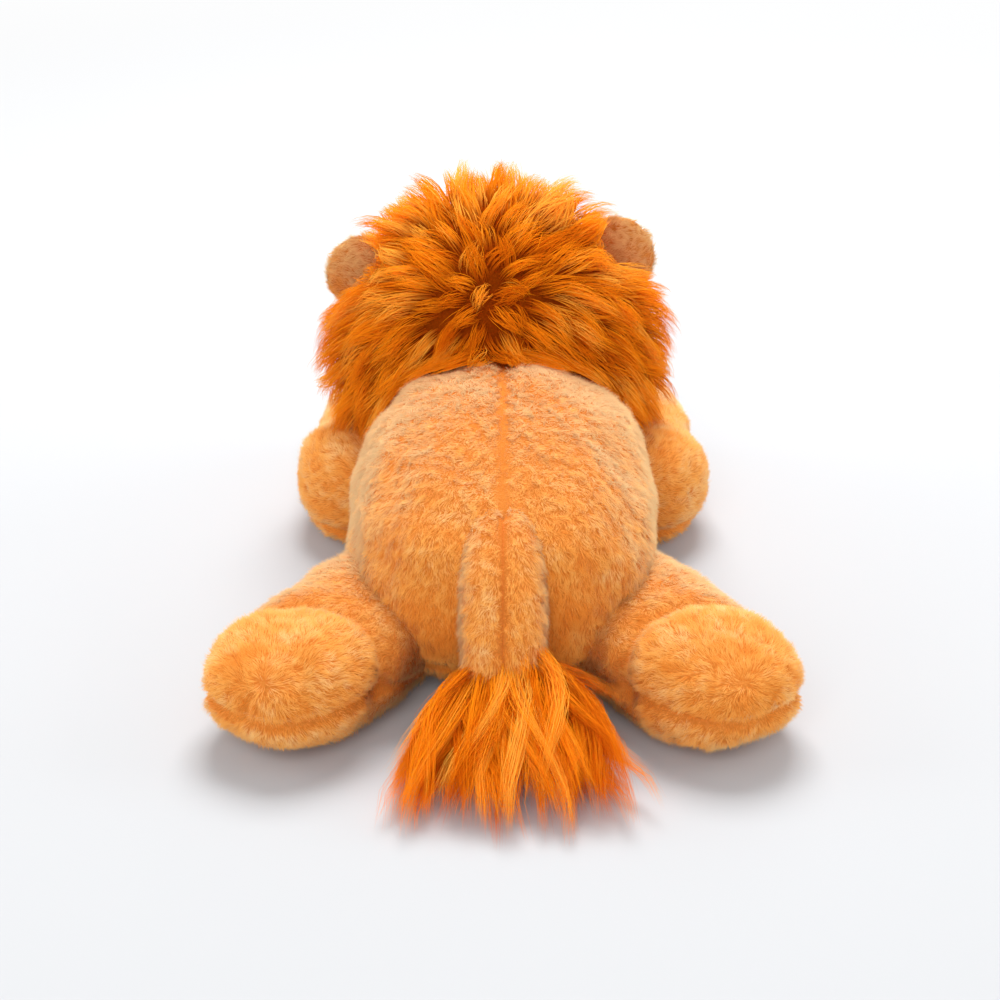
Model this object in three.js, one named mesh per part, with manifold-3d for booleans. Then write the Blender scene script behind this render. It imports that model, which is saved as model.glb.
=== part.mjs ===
// A plush lion lying on its belly with its hind legs splayed behind it.
// Millimetres. +Z is up, +Y is the way the lion faces, and -X is the lion's left.
// The origin is the middle of the belly, on the surface that the toy lies on.
// Every cover is a sewn shell of plush cloth over its own stuffing.
import * as THREE from "three";
import { mergeVertices } from "three/addons/utils/BufferGeometryUtils.js";
import Module from "manifold-3d";

const wasm = await Module();
wasm.setup();

// Cloth and sewing
const plushThickness = 3; // backing cloth with its short pile
const seamGap = 0.3; // left between two pieces that are sewn or pressed together
const settle = 0.5; // how far a stuffed form is pressed flat where it rests
const sectionPower = 0.87; // below 1 makes the oval sections a little squarer
const restingPower = 0.72; // the same for the underside of a form that lies on a surface
const cushionFullness = 2.4; // how blunt the ends of pouches, ears and the muzzle are

// Torso
const torsoLength = 175;
const torsoWidth = 130;
const torsoRearY = -99; // the rump's rearmost point
const torsoMiddleHeight = 44; // height of the torso's widest line
const torsoBackHeight = 101; // highest line of the back
const torsoBellySeam = 20; // height of the seam round the belly panel
const torsoWidthShares = [0.92, 0.97, 1, 1, 0.98];
const torsoTopShares = [0.84, 0.9, 1, 1, 0.97];
const torsoFullness = 3.1; // how blunt the torso's ends are, 2 for an oval

// Pouch of plastic pellets in the belly
const bellyPouchLength = 74;
const bellyPouchWidth = 62;
const bellyPouchHeight = 16;

// Head. Its middle is the middle of the round skull.
const headMiddleY = 92;
const headMiddleZ = 86;
const headLean = 4.5; // degrees that the head leans to the lion's left
const headLeanHeight = 40; // height of the line that it leans about
const headWidth = 104;
const headLength = 98;
const headHeight = 100;
const headFullness = 2.2;
const faceSeamForward = 12; // the seam round the face, ahead of the head's middle

// Mane, by its reach from the head's middle and the angle in degrees from straight back
const maneBackReach = 60;
const maneReach = 85; // to the tips of the locks round its rim
const maneShares = [
  { angle: 24, reachShare: 0.71, drapeShare: 0.5, lockShare: 0 },
  { angle: 48, reachShare: 0.76, drapeShare: 1, lockShare: 0.2 },
  { angle: 70, reachShare: 0.86, drapeShare: 0.6, lockShare: 0.6 },
  { angle: 88, reachShare: 1, drapeShare: 0, lockShare: 1 },
  { angle: 108, reachShare: 0.7, drapeShare: 0, lockShare: 0.2 },
];
const maneDrape = 10; // how much further back the hair reaches where it hangs over the shoulders
const maneDrapeStartShare = 0.45; // how high round the head the hair starts to hang, from its middle
const maneLockDepth = 8; // how deep the valleys between locks are at the rim
const maneLocks = 18;
const hairOnBack = 0.8; // the loose hair's distance from the back
const hairOnLegs = 3.2; // and from the forelegs, so that they can swing under it

// Muzzle, chin, nose and mouth
const muzzleWidth = 62;
const muzzleLength = 56;
const muzzleHeight = 42;
const muzzleForward = 50; // muzzle's middle ahead of the head's middle
const muzzleDrop = 13; // and below it
const chinWidth = 34;
const chinLength = 34;
const chinHeight = 20;
const chinForward = 42;
const chinDrop = 34;
const noseWidth = 24;
const noseLength = 18;
const noseHeight = 15;
const noseForward = 19; // nose's middle ahead of the muzzle's middle
const noseRise = 13; // and above it
const stitchRadius = 0.9;
const stitchSteps = 5;
const stitchSides = 6;
const mouthDrop = 16; // length of the upright thread under the nose
const mouthSpread = 12; // how far each side thread runs out
const mouthSag = 3;

// Plastic eyes, each with a shank and a lock washer behind the cloth
const eyeRadius = 6.5;
const eyeBulge = 4;
const eyeDomeSteps = 3;
const eyeSeat = 0.8; // the eye's flat back, off the cloth's smooth surface
const shankRadius = 2;
const shankLength = 9;
const washerRadius = 6.5;
const washerThickness = 1.6;
const shankClearance = 0.2; // between the shank and its washer
const eyeSpread = 19; // each eye from the middle of the face
const eyeRise = 15; // eyes above the head's middle

// Ears
const earWidth = 40;
const earTipReach = 83; // tip of the ear from the head's middle
const earRootReach = 38; // where the ear's form starts, inside the head
const earThickness = 9;
const earRiseAngle = 27; // degrees above level
const earForward = 22; // ear's middle line ahead of the head's middle

// Forelegs, from the shoulder to the paw. A path's shares are of its spread and its length.
const foreLegWidth = 56;
const foreLegHeight = 50;
const foreLegRootX = 42; // from the middle of the toy
const foreLegRootY = 42; // ahead of the middle of the belly
const foreLegSpread = 23; // how far out the elbow stands from the root
const foreLegLength = 126;
const foreLegPathShares = [[0, 0], [1, 0.21], [0.91, 0.57], [0.7, 1]];
const foreLegWidthShares = [0.8, 1, 0.9, 0.94, 1];
const foreLegHeightShares = [1.1, 1.08, 0.9, 0.94, 1];
const foreLegFullness = 3;
const foreLegSeam = 13; // height of the seam round the under panel

// Hind legs, from the hip to the foot
const hindLegWidth = 72;
const hindLegHeight = 51;
const hindLegRootX = 28;
const hindLegRootY = -18;
const hindLegSpread = 74; // how far out the toe stands from the root
const hindLegLength = 116;
const hindLegPathShares = [[0, 0], [0.3, 0.31], [0.61, 0.63], [1, 1]];
const hindLegWidthShares = [0.8, 0.9, 0.96, 1, 1];
const hindLegHeightShares = [1.1, 1.02, 0.86, 0.93, 0.96];
const hindLegFullness = 2.8;
const hindLegSeam = 14;
const footPouchFromToe = 22; // from the end of the toe to the pouch
const footPouchLength = 34;
const footPouchWidth = 40;
const footPouchHeight = 14;

// Tail, and its tuft. The path's shares are of how far back it reaches and how far it drops.
const tailThickness = 35;
const tailRootY = -62;
const tailRootZ = 72;
const tailReach = 58;
const tailDrop = 50;
const tailPathShares = [[0, 0], [0.48, 0.16], [0.84, 0.6], [1, 1]];
const tailFullness = 4;
const tuftStartY = -100;
const tuftLength = 78;
const tuftWidth = 100;
const tuftHeight = 48;
const tuftWidthShares = [0.3, 0.46, 0.7, 0.9, 1, 0.94, 0.6];
const tuftHeightShares = [0.9, 1, 0.88, 0.66, 0.44, 0.24, 0.1];
const tuftLocks = 9;
const tuftLockDepth = 7;

// Facets
const torsoRings = 14;
const torsoSides = 20;
const headRings = 12;
const headSides = 20;
const legRings = 12;
const legSides = 16;
const smallRings = 6;
const smallSides = 12;
const eyeSides = 16;
const innerShare = 0.7; // hidden surfaces have this share of the outer rings and sides

const up = new THREE.Vector3(0, 0, 1);
const forward = new THREE.Vector3(0, 1, 0);
const headMiddle = new THREE.Vector3(0, headMiddleY, headMiddleZ);

const plushGold = { color: 0xe69a52, roughness: 0.95, metalness: 0 };
const maneRust = { color: 0xcf6515, roughness: 0.9, metalness: 0 };
const muzzleCream = { color: 0xf3dcb8, roughness: 0.95, metalness: 0 };
const noseBrown = { color: 0x4a2a1c, roughness: 0.35, metalness: 0 };
const eyeAmber = { color: 0x2a140a, roughness: 0.08, metalness: 0 };
const washerWhite = { color: 0xeeeeea, roughness: 0.5, metalness: 0 };
const threadBrown = { color: 0x3b2418, roughness: 0.8, metalness: 0 };
const fillWhite = { color: 0xf4f2ec, roughness: 1, metalness: 0 };
const pouchGrey = { color: 0xc9c7c0, roughness: 0.9, metalness: 0 };

const toy = new THREE.Group();

function addPiece(name, solid, look) {
  const mesh = solid.getMesh();
  const places = new Float32Array(mesh.numVert * 3);
  for (let v = 0; v < mesh.numVert; v++) {
    for (let k = 0; k < 3; k++) places[v * 3 + k] = mesh.vertProperties[v * mesh.numProp + k];
  }
  const geometry = new THREE.BufferGeometry();
  geometry.setAttribute("position", new THREE.BufferAttribute(places, 3));
  geometry.setIndex(new THREE.BufferAttribute(new Uint32Array(mesh.triVerts), 1));
  geometry.computeVertexNormals();
  const piece = new THREE.Mesh(geometry, new THREE.MeshStandardMaterial(look));
  piece.name = name;
  toy.add(piece);
}

// A closed three.js geometry as a solid that can be joined and cut
function solidOf(geometry) {
  const bare = geometry.clone();
  bare.deleteAttribute("normal");
  bare.deleteAttribute("uv");
  const merged = mergeVertices(bare);
  return new wasm.Manifold(
    new wasm.Mesh({
      numProp: 3,
      vertProperties: merged.attributes.position.array,
      triVerts: new Uint32Array(merged.index.array),
    }),
  );
}

function cut(solid, ...tools) {
  return tools.reduce((left, tool) => left.subtract(tool), solid);
}

// Rings of points, with a single point closing each end, as one closed surface
function skinOver(rings, first, last) {
  const sides = rings[0].length;
  const places = [first, ...rings.flat(), last].flatMap((p) => [p.x, p.y, p.z]);
  const at = (ring, side) => 1 + ring * sides + (side % sides);
  const end = 1 + rings.length * sides;
  const faces = [];
  for (let s = 0; s < sides; s++) {
    faces.push(0, at(0, s), at(0, s + 1));
    for (let r = 0; r + 1 < rings.length; r++) {
      faces.push(at(r, s), at(r + 1, s), at(r, s + 1));
      faces.push(at(r, s + 1), at(r + 1, s), at(r + 1, s + 1));
    }
    faces.push(at(rings.length - 1, s), end, at(rings.length - 1, s + 1));
  }
  const geometry = new THREE.BufferGeometry();
  geometry.setAttribute("position", new THREE.Float32BufferAttribute(places, 3));
  geometry.setIndex(faces);
  return geometry;
}

// Reads a short list of sizes as a smooth line from 0 to 1
function smoothly(sizes, share) {
  const places = sizes.map((size, k) => new THREE.Vector2(k / (sizes.length - 1), size));
  return new THREE.SplineCurve(places).getPoint(THREE.MathUtils.clamp(share, 0, 1)).y;
}

// Leans a piece of the head over about the line through the neck
function leaned(geometry) {
  const lean = new THREE.Matrix4().makeRotationAxis(forward, THREE.MathUtils.degToRad(-headLean));
  const down = new THREE.Matrix4().makeTranslation(0, 0, -headLeanHeight);
  const back = new THREE.Matrix4().makeTranslation(0, 0, headLeanHeight);
  return geometry.applyMatrix4(back.multiply(lean).multiply(down));
}

function withPower(value, power) {
  return Math.sign(value) * Math.abs(value) ** power;
}

// A stuffed form: an oval section that follows a path, swells, tapers and rounds off at both ends.
// Its surface is drawn in by inset. A lying form's underside comes down to the surface below.
function stuffedForm(form, inset = 0, ringCount = form.rings, sideCount = form.sides) {
  const curve = new THREE.CatmullRomCurve3(form.path, false, "centripetal");
  const length = curve.getLength();
  const pointAt = (share) => {
    const within = THREE.MathUtils.clamp(share, 0, 1);
    return curve.getPointAt(within).addScaledVector(curve.getTangentAt(within), (share - within) * length);
  };
  const firstShare = inset / length;
  const rings = [];
  for (let r = 1; r < ringCount; r++) {
    const spaced = (1 - Math.cos((Math.PI * r) / ringCount)) / 2;
    const share = THREE.MathUtils.lerp(firstShare, 1 - firstShare, spaced);
    const middle = pointAt(share);
    const along = curve.getTangentAt(THREE.MathUtils.clamp(share, 0, 1));
    const aside = new THREE.Vector3().crossVectors(along, up).normalize();
    const above = new THREE.Vector3().crossVectors(aside, along);
    const rounding = (1 - Math.abs(2 * spaced - 1) ** form.fullness) ** (1 / form.fullness);
    const halfWidth = (smoothly(form.halfWidths, share) - inset) * rounding;
    const topHalf = smoothly(form.topHalves, share);
    const underHalf = form.lying ? middle.z + settle : topHalf;
    const ring = [];
    for (let s = 0; s < sideCount; s++) {
      const turn = (2 * Math.PI * s) / sideCount;
      const power = form.lying && turn > Math.PI ? restingPower : sectionPower;
      const outShare = withPower(Math.cos(turn), power);
      const upShare = withPower(Math.sin(turn), power);
      const half = ((upShare > 0 ? topHalf : underHalf) - inset) * rounding;
      const place = middle.clone().addScaledVector(aside, halfWidth * outShare);
      ring.push(place.addScaledVector(above, half * upShare));
    }
    rings.push(ring);
  }
  const skin = skinOver(rings, pointAt(firstShare), pointAt(1 - firstShare));
  return form.inHead ? leaned(skin) : skin;
}

function outsideOf(form, inset = 0) {
  return solidOf(stuffedForm(form, inset));
}

function insideOf(form, inset) {
  const ringCount = Math.round(form.rings * innerShare);
  const sideCount = 2 * Math.round((form.sides * innerShare) / 2);
  return solidOf(stuffedForm(form, inset, ringCount, sideCount));
}

// Everything between two planes that stand square to one axis
const toolReach = 2 * (torsoLength + hindLegWidth + headLength + tuftLength);
function slab(from, to, axis) {
  const size = new THREE.Vector3(toolReach, toolReach, toolReach);
  size.setComponent(axis, to - from);
  const middle = new THREE.Vector3();
  middle.setComponent(axis, (from + to) / 2);
  const box = new THREE.BoxGeometry(size.x, size.y, size.z);
  return solidOf(box.translate(middle.x, middle.y, middle.z));
}

const upright = 2;
const lengthways = 1;
const sideways = 0;
const below = (height) => slab(height - toolReach, height, upright);
const above = (height) => slab(height, height + toolReach, upright);
const behind = (place) => slab(place - toolReach, place, lengthways);
const ahead = (place) => slab(place, place + toolReach, lengthways);
const floor = below(0);

// A cover and what fills it. The hollow is drawn in by the cloth, and the filling by a gap more.
function coverAndFill(form, ...neighbours) {
  const outside = cut(outsideOf(form), floor, ...neighbours);
  const hollow = insideOf(form, plushThickness);
  const filling = cut(insideOf(form, plushThickness + seamGap), ...neighbours);
  if (!form.lying) return { cover: cut(outside, hollow), filling };
  return {
    cover: cut(outside, cut(hollow, below(plushThickness))),
    filling: cut(filling, below(plushThickness + seamGap)),
  };
}

// The two panels of a cover, sewn together along a level seam
function panelsOf(cover, seamHeight) {
  return {
    upper: cut(cover, below(seamHeight + seamGap / 2)),
    under: cut(cover, above(seamHeight - seamGap / 2)),
  };
}

// A round cushion, such as a pouch of pellets, between two places
function cushion(start, finish, width, height) {
  return {
    path: [start, finish],
    halfWidths: [width / 2, width / 2],
    topHalves: [height / 2, height / 2],
    fullness: cushionFullness,
    rings: smallRings,
    sides: smallSides,
  };
}

// The same on the head, lengthways about its middle
function headCushion(middle, width, length, height) {
  const start = middle.clone().addScaledVector(forward, -length / 2);
  const finish = middle.clone().addScaledVector(forward, length / 2);
  return { ...cushion(start, finish, width, height), inHead: true };
}

// Puts a pouch of pellets into a filling that makes room for it
function addPouchAndStuffing(name, pouch, filling) {
  addPiece(`${name}_pellet_pouch`, outsideOf(pouch).intersect(filling), pouchGrey);
  addPiece(`${name}_stuffing`, cut(filling, outsideOf(pouch, -seamGap)), fillWhite);
}

// Torso
const torsoFrontY = torsoRearY + torsoLength;
const torsoForm = {
  path: [
    new THREE.Vector3(0, torsoRearY, torsoMiddleHeight),
    new THREE.Vector3(0, torsoFrontY, torsoMiddleHeight),
  ],
  halfWidths: torsoWidthShares.map((share) => (share * torsoWidth) / 2),
  topHalves: torsoTopShares.map((share) => share * (torsoBackHeight - torsoMiddleHeight)),
  fullness: torsoFullness,
  rings: torsoRings,
  sides: torsoSides,
  lying: true,
};
const torsoRoom = outsideOf(torsoForm, -seamGap);

function addTorso() {
  const { cover, filling } = coverAndFill(torsoForm);
  const { upper, under } = panelsOf(cover, torsoBellySeam);
  addPiece("torso_back_panel_left", cut(upper, slab(-seamGap / 2, toolReach, sideways)), plushGold);
  addPiece("torso_back_panel_right", cut(upper, slab(-toolReach, seamGap / 2, sideways)), plushGold);
  addPiece("torso_belly_panel", under, plushGold);
  const pouchHeight = plushThickness + 2 * seamGap + bellyPouchHeight / 2;
  const start = new THREE.Vector3(0, -bellyPouchLength / 2, pouchHeight);
  const finish = new THREE.Vector3(0, bellyPouchLength / 2, pouchHeight);
  addPouchAndStuffing("torso", cushion(start, finish, bellyPouchWidth, bellyPouchHeight), filling);
}

// Legs. Each path runs from inside the torso to the end of the paw or foot.
function foreLegForm(side) {
  return {
    path: foreLegPathShares.map(([out, on]) => {
      const x = foreLegRootX + out * foreLegSpread;
      return new THREE.Vector3(side * x, foreLegRootY + on * foreLegLength, foreLegHeight / 2);
    }),
    halfWidths: foreLegWidthShares.map((share) => (share * foreLegWidth) / 2),
    topHalves: foreLegHeightShares.map((share) => (share * foreLegHeight) / 2),
    fullness: foreLegFullness,
    rings: legRings,
    sides: legSides,
    lying: true,
  };
}

function addForeLeg(word, side) {
  const { cover, filling } = coverAndFill(foreLegForm(side), torsoRoom);
  const { upper, under } = panelsOf(cover, foreLegSeam);
  addPiece(`foreleg_${word}_upper_panel`, upper, plushGold);
  addPiece(`foreleg_${word}_under_panel`, under, plushGold);
  addPiece(`foreleg_${word}_stuffing`, filling, fillWhite);
}

function hindLegForm(side) {
  return {
    path: hindLegPathShares.map(([out, on]) => {
      const x = hindLegRootX + out * hindLegSpread;
      return new THREE.Vector3(side * x, hindLegRootY - on * hindLegLength, hindLegHeight / 2);
    }),
    halfWidths: hindLegWidthShares.map((share) => (share * hindLegWidth) / 2),
    topHalves: hindLegHeightShares.map((share) => (share * hindLegHeight) / 2),
    fullness: hindLegFullness,
    rings: legRings,
    sides: legSides,
    lying: true,
  };
}

function addHindLeg(word, side) {
  const form = hindLegForm(side);
  const { cover, filling } = coverAndFill(form, torsoRoom);
  const { upper, under } = panelsOf(cover, hindLegSeam);
  addPiece(`hind_leg_${word}_upper_panel`, upper, plushGold);
  addPiece(`hind_leg_${word}_sole_panel`, under, plushGold);
  const toe = form.path[form.path.length - 1].clone();
  const inwards = form.path[form.path.length - 2].clone().sub(toe).normalize();
  toe.z = plushThickness + 2 * seamGap + footPouchHeight / 2;
  const start = toe.clone().addScaledVector(inwards, footPouchFromToe);
  const finish = start.clone().addScaledVector(inwards, footPouchLength);
  addPouchAndStuffing(`hind_leg_${word}`, cushion(start, finish, footPouchWidth, footPouchHeight), filling);
}

// Tail and its tuft
const tailForm = {
  path: tailPathShares.map(([back, down]) => {
    return new THREE.Vector3(0, tailRootY - back * tailReach, tailRootZ - down * tailDrop);
  }),
  halfWidths: [tailThickness / 2, tailThickness / 2],
  topHalves: [tailThickness / 2, tailThickness / 2],
  fullness: tailFullness,
  rings: legRings,
  sides: smallSides,
};

// How deep the valley between two locks is at one place round the hair, from 0 to 1
function valleyShare(turn, locks) {
  return 1 - Math.abs(Math.cos((locks * turn) / 2));
}

function tuftGeometry() {
  const rings = [];
  const sides = 4 * tuftLocks;
  for (let r = 1; r < smallRings; r++) {
    const share = r / smallRings;
    const halfWidth = smoothly(tuftWidthShares, share) * tuftWidth / 2;
    const height = smoothly(tuftHeightShares, share) * tuftHeight;
    const ring = [];
    for (let s = 0; s < sides; s++) {
      const turn = (2 * Math.PI * s) / sides;
      const valley = valleyShare(turn, 2 * tuftLocks) * tuftLockDepth * share;
      const x = (valley - halfWidth) * Math.cos(turn);
      const z = Math.max((height - valley) * Math.sin(turn), settle * Math.sin(turn));
      ring.push(new THREE.Vector3(x, tuftStartY - tuftLength * share, z));
    }
    rings.push(ring);
  }
  const start = new THREE.Vector3(0, tuftStartY, tuftHeight / 2);
  return skinOver(rings, start, new THREE.Vector3(0, tuftStartY - tuftLength, settle));
}

function addTail() {
  const { cover, filling } = coverAndFill(tailForm, torsoRoom);
  addPiece("tail_cover", cover, plushGold);
  addPiece("tail_stuffing", filling, fillWhite);
  const tailRoom = outsideOf(tailForm, -seamGap);
  addPiece("tail_tuft", cut(solidOf(tuftGeometry()), floor, tailRoom, torsoRoom), maneRust);
}

// Head. The face panel covers the front of the skull, and the mane's backing the rest of it.
const headForm = {
  path: [
    headMiddle.clone().addScaledVector(forward, -headLength / 2),
    headMiddle.clone().addScaledVector(forward, headLength / 2),
  ],
  halfWidths: [headWidth / 2, headWidth / 2],
  topHalves: [headHeight / 2, headHeight / 2],
  fullness: headFullness,
  rings: headRings,
  sides: headSides,
  inHead: true,
};
const headRoom = outsideOf(headForm, -seamGap);
const faceSeamY = headMiddleY + faceSeamForward;

// The mane is round about the line through the head, and its rim breaks into locks
function maneGeometry() {
  const sides = 2 * maneLocks;
  const ringOf = (place) => {
    const angle = THREE.MathUtils.degToRad(place.angle);
    const fullReach = place.reachShare * maneReach;
    const ring = [];
    for (let s = 0; s < sides; s++) {
      const turn = (2 * Math.PI * s) / sides;
      const hanging = THREE.MathUtils.smoothstep(-Math.sin(turn), -maneDrapeStartShare, maneDrapeStartShare);
      const reach = fullReach + maneDrape * place.drapeShare * hanging;
      const valley = valleyShare(turn, maneLocks) * maneLockDepth * place.lockShare;
      const out = (reach - valley) * Math.sin(angle);
      const point = new THREE.Vector3(out * Math.cos(turn), -reach * Math.cos(angle), out * Math.sin(turn));
      ring.push(point.add(headMiddle));
    }
    return ring;
  };
  const frontmost = maneShares[maneShares.length - 1];
  const frontAngle = THREE.MathUtils.degToRad(frontmost.angle);
  const frontDepth = -frontmost.reachShare * maneReach * Math.cos(frontAngle);
  const backPole = headMiddle.clone().addScaledVector(forward, -maneBackReach);
  const frontPole = headMiddle.clone().addScaledVector(forward, frontDepth);
  return leaned(skinOver(maneShares.map(ringOf), backPole, frontPole));
}

// An ear leans out from the head, and its hinge is the front edge of its root
function earForm(side) {
  const rise = THREE.MathUtils.degToRad(earRiseAngle);
  const outwards = new THREE.Vector3(side * Math.cos(rise), 0, Math.sin(rise));
  const middle = headMiddle.clone().addScaledVector(forward, earForward);
  const start = middle.clone().addScaledVector(outwards, earRootReach);
  const finish = middle.clone().addScaledVector(outwards, earTipReach);
  return { ...cushion(start, finish, earThickness, earWidth), inHead: true };
}

function addEar(word, form) {
  const ear = cut(outsideOf(form), headRoom);
  const middleY = headMiddleY + earForward;
  addPiece(`ear_${word}_back`, cut(ear, ahead(middleY - seamGap / 2)), plushGold);
  addPiece(`ear_${word}_lining`, cut(ear, behind(middleY + seamGap / 2)), muzzleCream);
}

// A lathed solid whose axis points along a direction, from a profile of distances out and along
function turnedSolid(profile, sides, place, direction) {
  const geometry = new THREE.LatheGeometry(profile.map(([out, on]) => new THREE.Vector2(out, on)), sides);
  geometry.applyQuaternion(new THREE.Quaternion().setFromUnitVectors(forward, direction));
  return solidOf(geometry.translate(place.x, place.y, place.z));
}

// The place on the face's cloth straight ahead of a spot on the head, and the way it faces
function faceSpot(x, z) {
  const face = new THREE.Mesh(stuffedForm(headForm), new THREE.MeshBasicMaterial({ side: THREE.DoubleSide }));
  const start = new THREE.Vector3(x, headLength, z).add(headMiddle);
  const [hit] = new THREE.Raycaster(start, forward.clone().negate()).intersectObject(face);
  return { place: hit.point, facing: hit.face.normal.clone() };
}

function eyeParts(side) {
  const { place, facing } = faceSpot(side * eyeSpread, eyeRise);
  const front = -(plushThickness + seamGap);
  const backOfWasher = front - washerThickness;
  const dome = [[0, -shankLength], [shankRadius, -shankLength], [shankRadius, eyeSeat], [eyeRadius, eyeSeat]];
  for (let k = 1; k < eyeDomeSteps; k++) {
    const turn = (Math.PI * k) / (2 * eyeDomeSteps);
    dome.push([eyeRadius * Math.cos(turn), eyeSeat + eyeBulge * Math.sin(turn)]);
  }
  dome.push([0, eyeSeat + eyeBulge]);
  const bore = shankRadius + shankClearance;
  const washer = [[bore, backOfWasher], [washerRadius, backOfWasher], [washerRadius, front], [bore, front]];
  washer.push(washer[0]);
  const roomBack = -(shankLength + seamGap);
  const roomRadius = washerRadius + seamGap;
  const room = [[0, roomBack], [roomRadius, roomBack], [roomRadius, 0], [0, 0]];
  const pocket = [[0, roomBack], [roomRadius, roomBack], [roomRadius, -plushThickness], [0, -plushThickness]];
  const hole = [[0, roomBack], [bore, roomBack], [bore, eyeSeat + eyeBulge], [0, eyeSeat + eyeBulge]];
  return {
    eye: turnedSolid(dome, eyeSides, place, facing),
    washer: turnedSolid(washer, eyeSides, place, facing),
    room: turnedSolid(room, eyeSides, place, facing),
    pocket: turnedSolid(pocket, eyeSides, place, facing),
    hole: turnedSolid(hole, eyeSides, place, facing),
  };
}

const muzzleMiddle = headMiddle.clone().add(new THREE.Vector3(0, muzzleForward, -muzzleDrop));
const muzzleForm = { ...headCushion(muzzleMiddle, muzzleWidth, muzzleLength, muzzleHeight), sides: legSides };
const muzzleRoom = outsideOf(muzzleForm, -seamGap);

const chinMiddle = headMiddle.clone().add(new THREE.Vector3(0, chinForward, -chinDrop));
const chinForm = headCushion(chinMiddle, chinWidth, chinLength, chinHeight);

const noseMiddle = muzzleMiddle.clone().add(new THREE.Vector3(0, noseForward, noseRise));
const noseForm = headCushion(noseMiddle, noseWidth, noseLength, noseHeight);

// The mouth is a thread that runs down from the nose and parts to both sides
function mouthSolid() {
  const front = (x, drop) => {
    const shareLeft = 1 - (x / (muzzleWidth / 2)) ** 2 - (drop / (muzzleHeight / 2)) ** 2;
    const y = (muzzleLength / 2) * Math.sqrt(shareLeft);
    return new THREE.Vector3(x, y, -drop).add(muzzleMiddle);
  };
  const thread = (places) => {
    const round = new THREE.Shape().absarc(0, 0, stitchRadius, 0, 2 * Math.PI, false);
    const path = new THREE.CatmullRomCurve3(places);
    const settings = { steps: stitchSteps, curveSegments: stitchSides / 2, extrudePath: path };
    return solidOf(leaned(new THREE.ExtrudeGeometry(round, settings)));
  };
  const startDrop = -noseRise;
  const middleDrop = startDrop + mouthDrop;
  const down = thread([front(0, startDrop), front(0, (startDrop + middleDrop) / 2), front(0, middleDrop)]);
  const sides = [-1, 1].map((side) => thread([
    front(0, middleDrop),
    front((side * mouthSpread) / 2, middleDrop + mouthSag),
    front(side * mouthSpread, middleDrop),
  ]));
  return sides.reduce((joined, next) => joined.add(next), down);
}

function addHead() {
  const ears = { left: earForm(-1), right: earForm(1) };
  const eyes = { left: eyeParts(-1), right: eyeParts(1) };
  const restRooms = [outsideOf(torsoForm, -hairOnBack)];
  for (const side of [-1, 1]) restRooms.push(outsideOf(foreLegForm(side), -hairOnLegs));
  const hollow = insideOf(headForm, plushThickness);
  const earRooms = Object.values(ears).map((form) => outsideOf(form, -seamGap));
  const skullRoom = cut(headRoom, behind(faceSeamY));
  const mane = cut(solidOf(maneGeometry()), hollow, skullRoom, ...restRooms, ...earRooms, floor);
  addPiece("mane", mane, maneRust);
  const eyeHoles = Object.values(eyes).flatMap(({ pocket, hole }) => [pocket, hole]);
  const face = cut(outsideOf(headForm), hollow, behind(faceSeamY + seamGap), ...eyeHoles);
  addPiece("face_panel", face, plushGold);
  const eyeRooms = [eyes.left.room, eyes.right.room];
  const filling = cut(insideOf(headForm, plushThickness + seamGap), torsoRoom, ...eyeRooms);
  addPiece("head_stuffing", filling, fillWhite);
  for (const word of ["left", "right"]) {
    addPiece(`eye_${word}`, eyes[word].eye, eyeAmber);
    addPiece(`eye_washer_${word}`, eyes[word].washer, washerWhite);
    addEar(word, ears[word]);
  }
  addPiece("muzzle", cut(outsideOf(muzzleForm), headRoom), muzzleCream);
  addPiece("chin", cut(outsideOf(chinForm), headRoom, muzzleRoom), muzzleCream);
  addPiece("nose", cut(outsideOf(noseForm), muzzleRoom, headRoom), noseBrown);
  addPiece("mouth_stitching", cut(mouthSolid(), muzzleRoom, outsideOf(noseForm, -seamGap)), threadBrown);
}

addTorso();
for (const [word, side] of [["left", -1], ["right", 1]]) {
  addForeLeg(word, side);
  addHindLeg(word, side);
}
addTail();
addHead();

export default toy;
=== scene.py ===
import math

import bpy
import numpy as np
from mathutils import Matrix, Vector
from mathutils.bvhtree import BVHTree


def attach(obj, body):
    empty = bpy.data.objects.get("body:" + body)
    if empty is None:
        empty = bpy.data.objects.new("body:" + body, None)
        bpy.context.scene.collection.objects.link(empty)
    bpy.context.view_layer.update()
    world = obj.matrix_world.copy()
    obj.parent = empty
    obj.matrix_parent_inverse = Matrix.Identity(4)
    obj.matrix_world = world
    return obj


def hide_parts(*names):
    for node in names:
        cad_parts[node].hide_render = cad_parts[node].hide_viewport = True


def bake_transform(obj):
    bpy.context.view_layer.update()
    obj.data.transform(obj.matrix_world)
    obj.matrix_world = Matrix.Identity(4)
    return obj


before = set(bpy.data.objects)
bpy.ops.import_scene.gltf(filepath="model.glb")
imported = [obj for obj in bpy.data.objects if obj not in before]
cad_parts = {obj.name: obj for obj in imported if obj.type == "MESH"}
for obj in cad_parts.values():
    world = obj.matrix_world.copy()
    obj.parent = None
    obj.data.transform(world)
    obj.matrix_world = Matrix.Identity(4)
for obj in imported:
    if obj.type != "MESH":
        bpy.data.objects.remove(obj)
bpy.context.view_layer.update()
rng = np.random.default_rng(20)
print("frame loaded")


# shapes and hairs, in metres and in the model's own axes

def unit(vectors):
    return vectors / np.maximum(np.linalg.norm(vectors, axis=-1, keepdims=True), 1e-12)


def flattened(ways, normals):
    # ways laid along the surface that has these normals
    return unit(ways - normals * np.sum(ways * normals, axis=1, keepdims=True))


def softStep(low, high, value):
    share = np.clip((value - low) / (high - low), 0, 1)
    return share * share * (3 - 2 * share)


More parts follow.
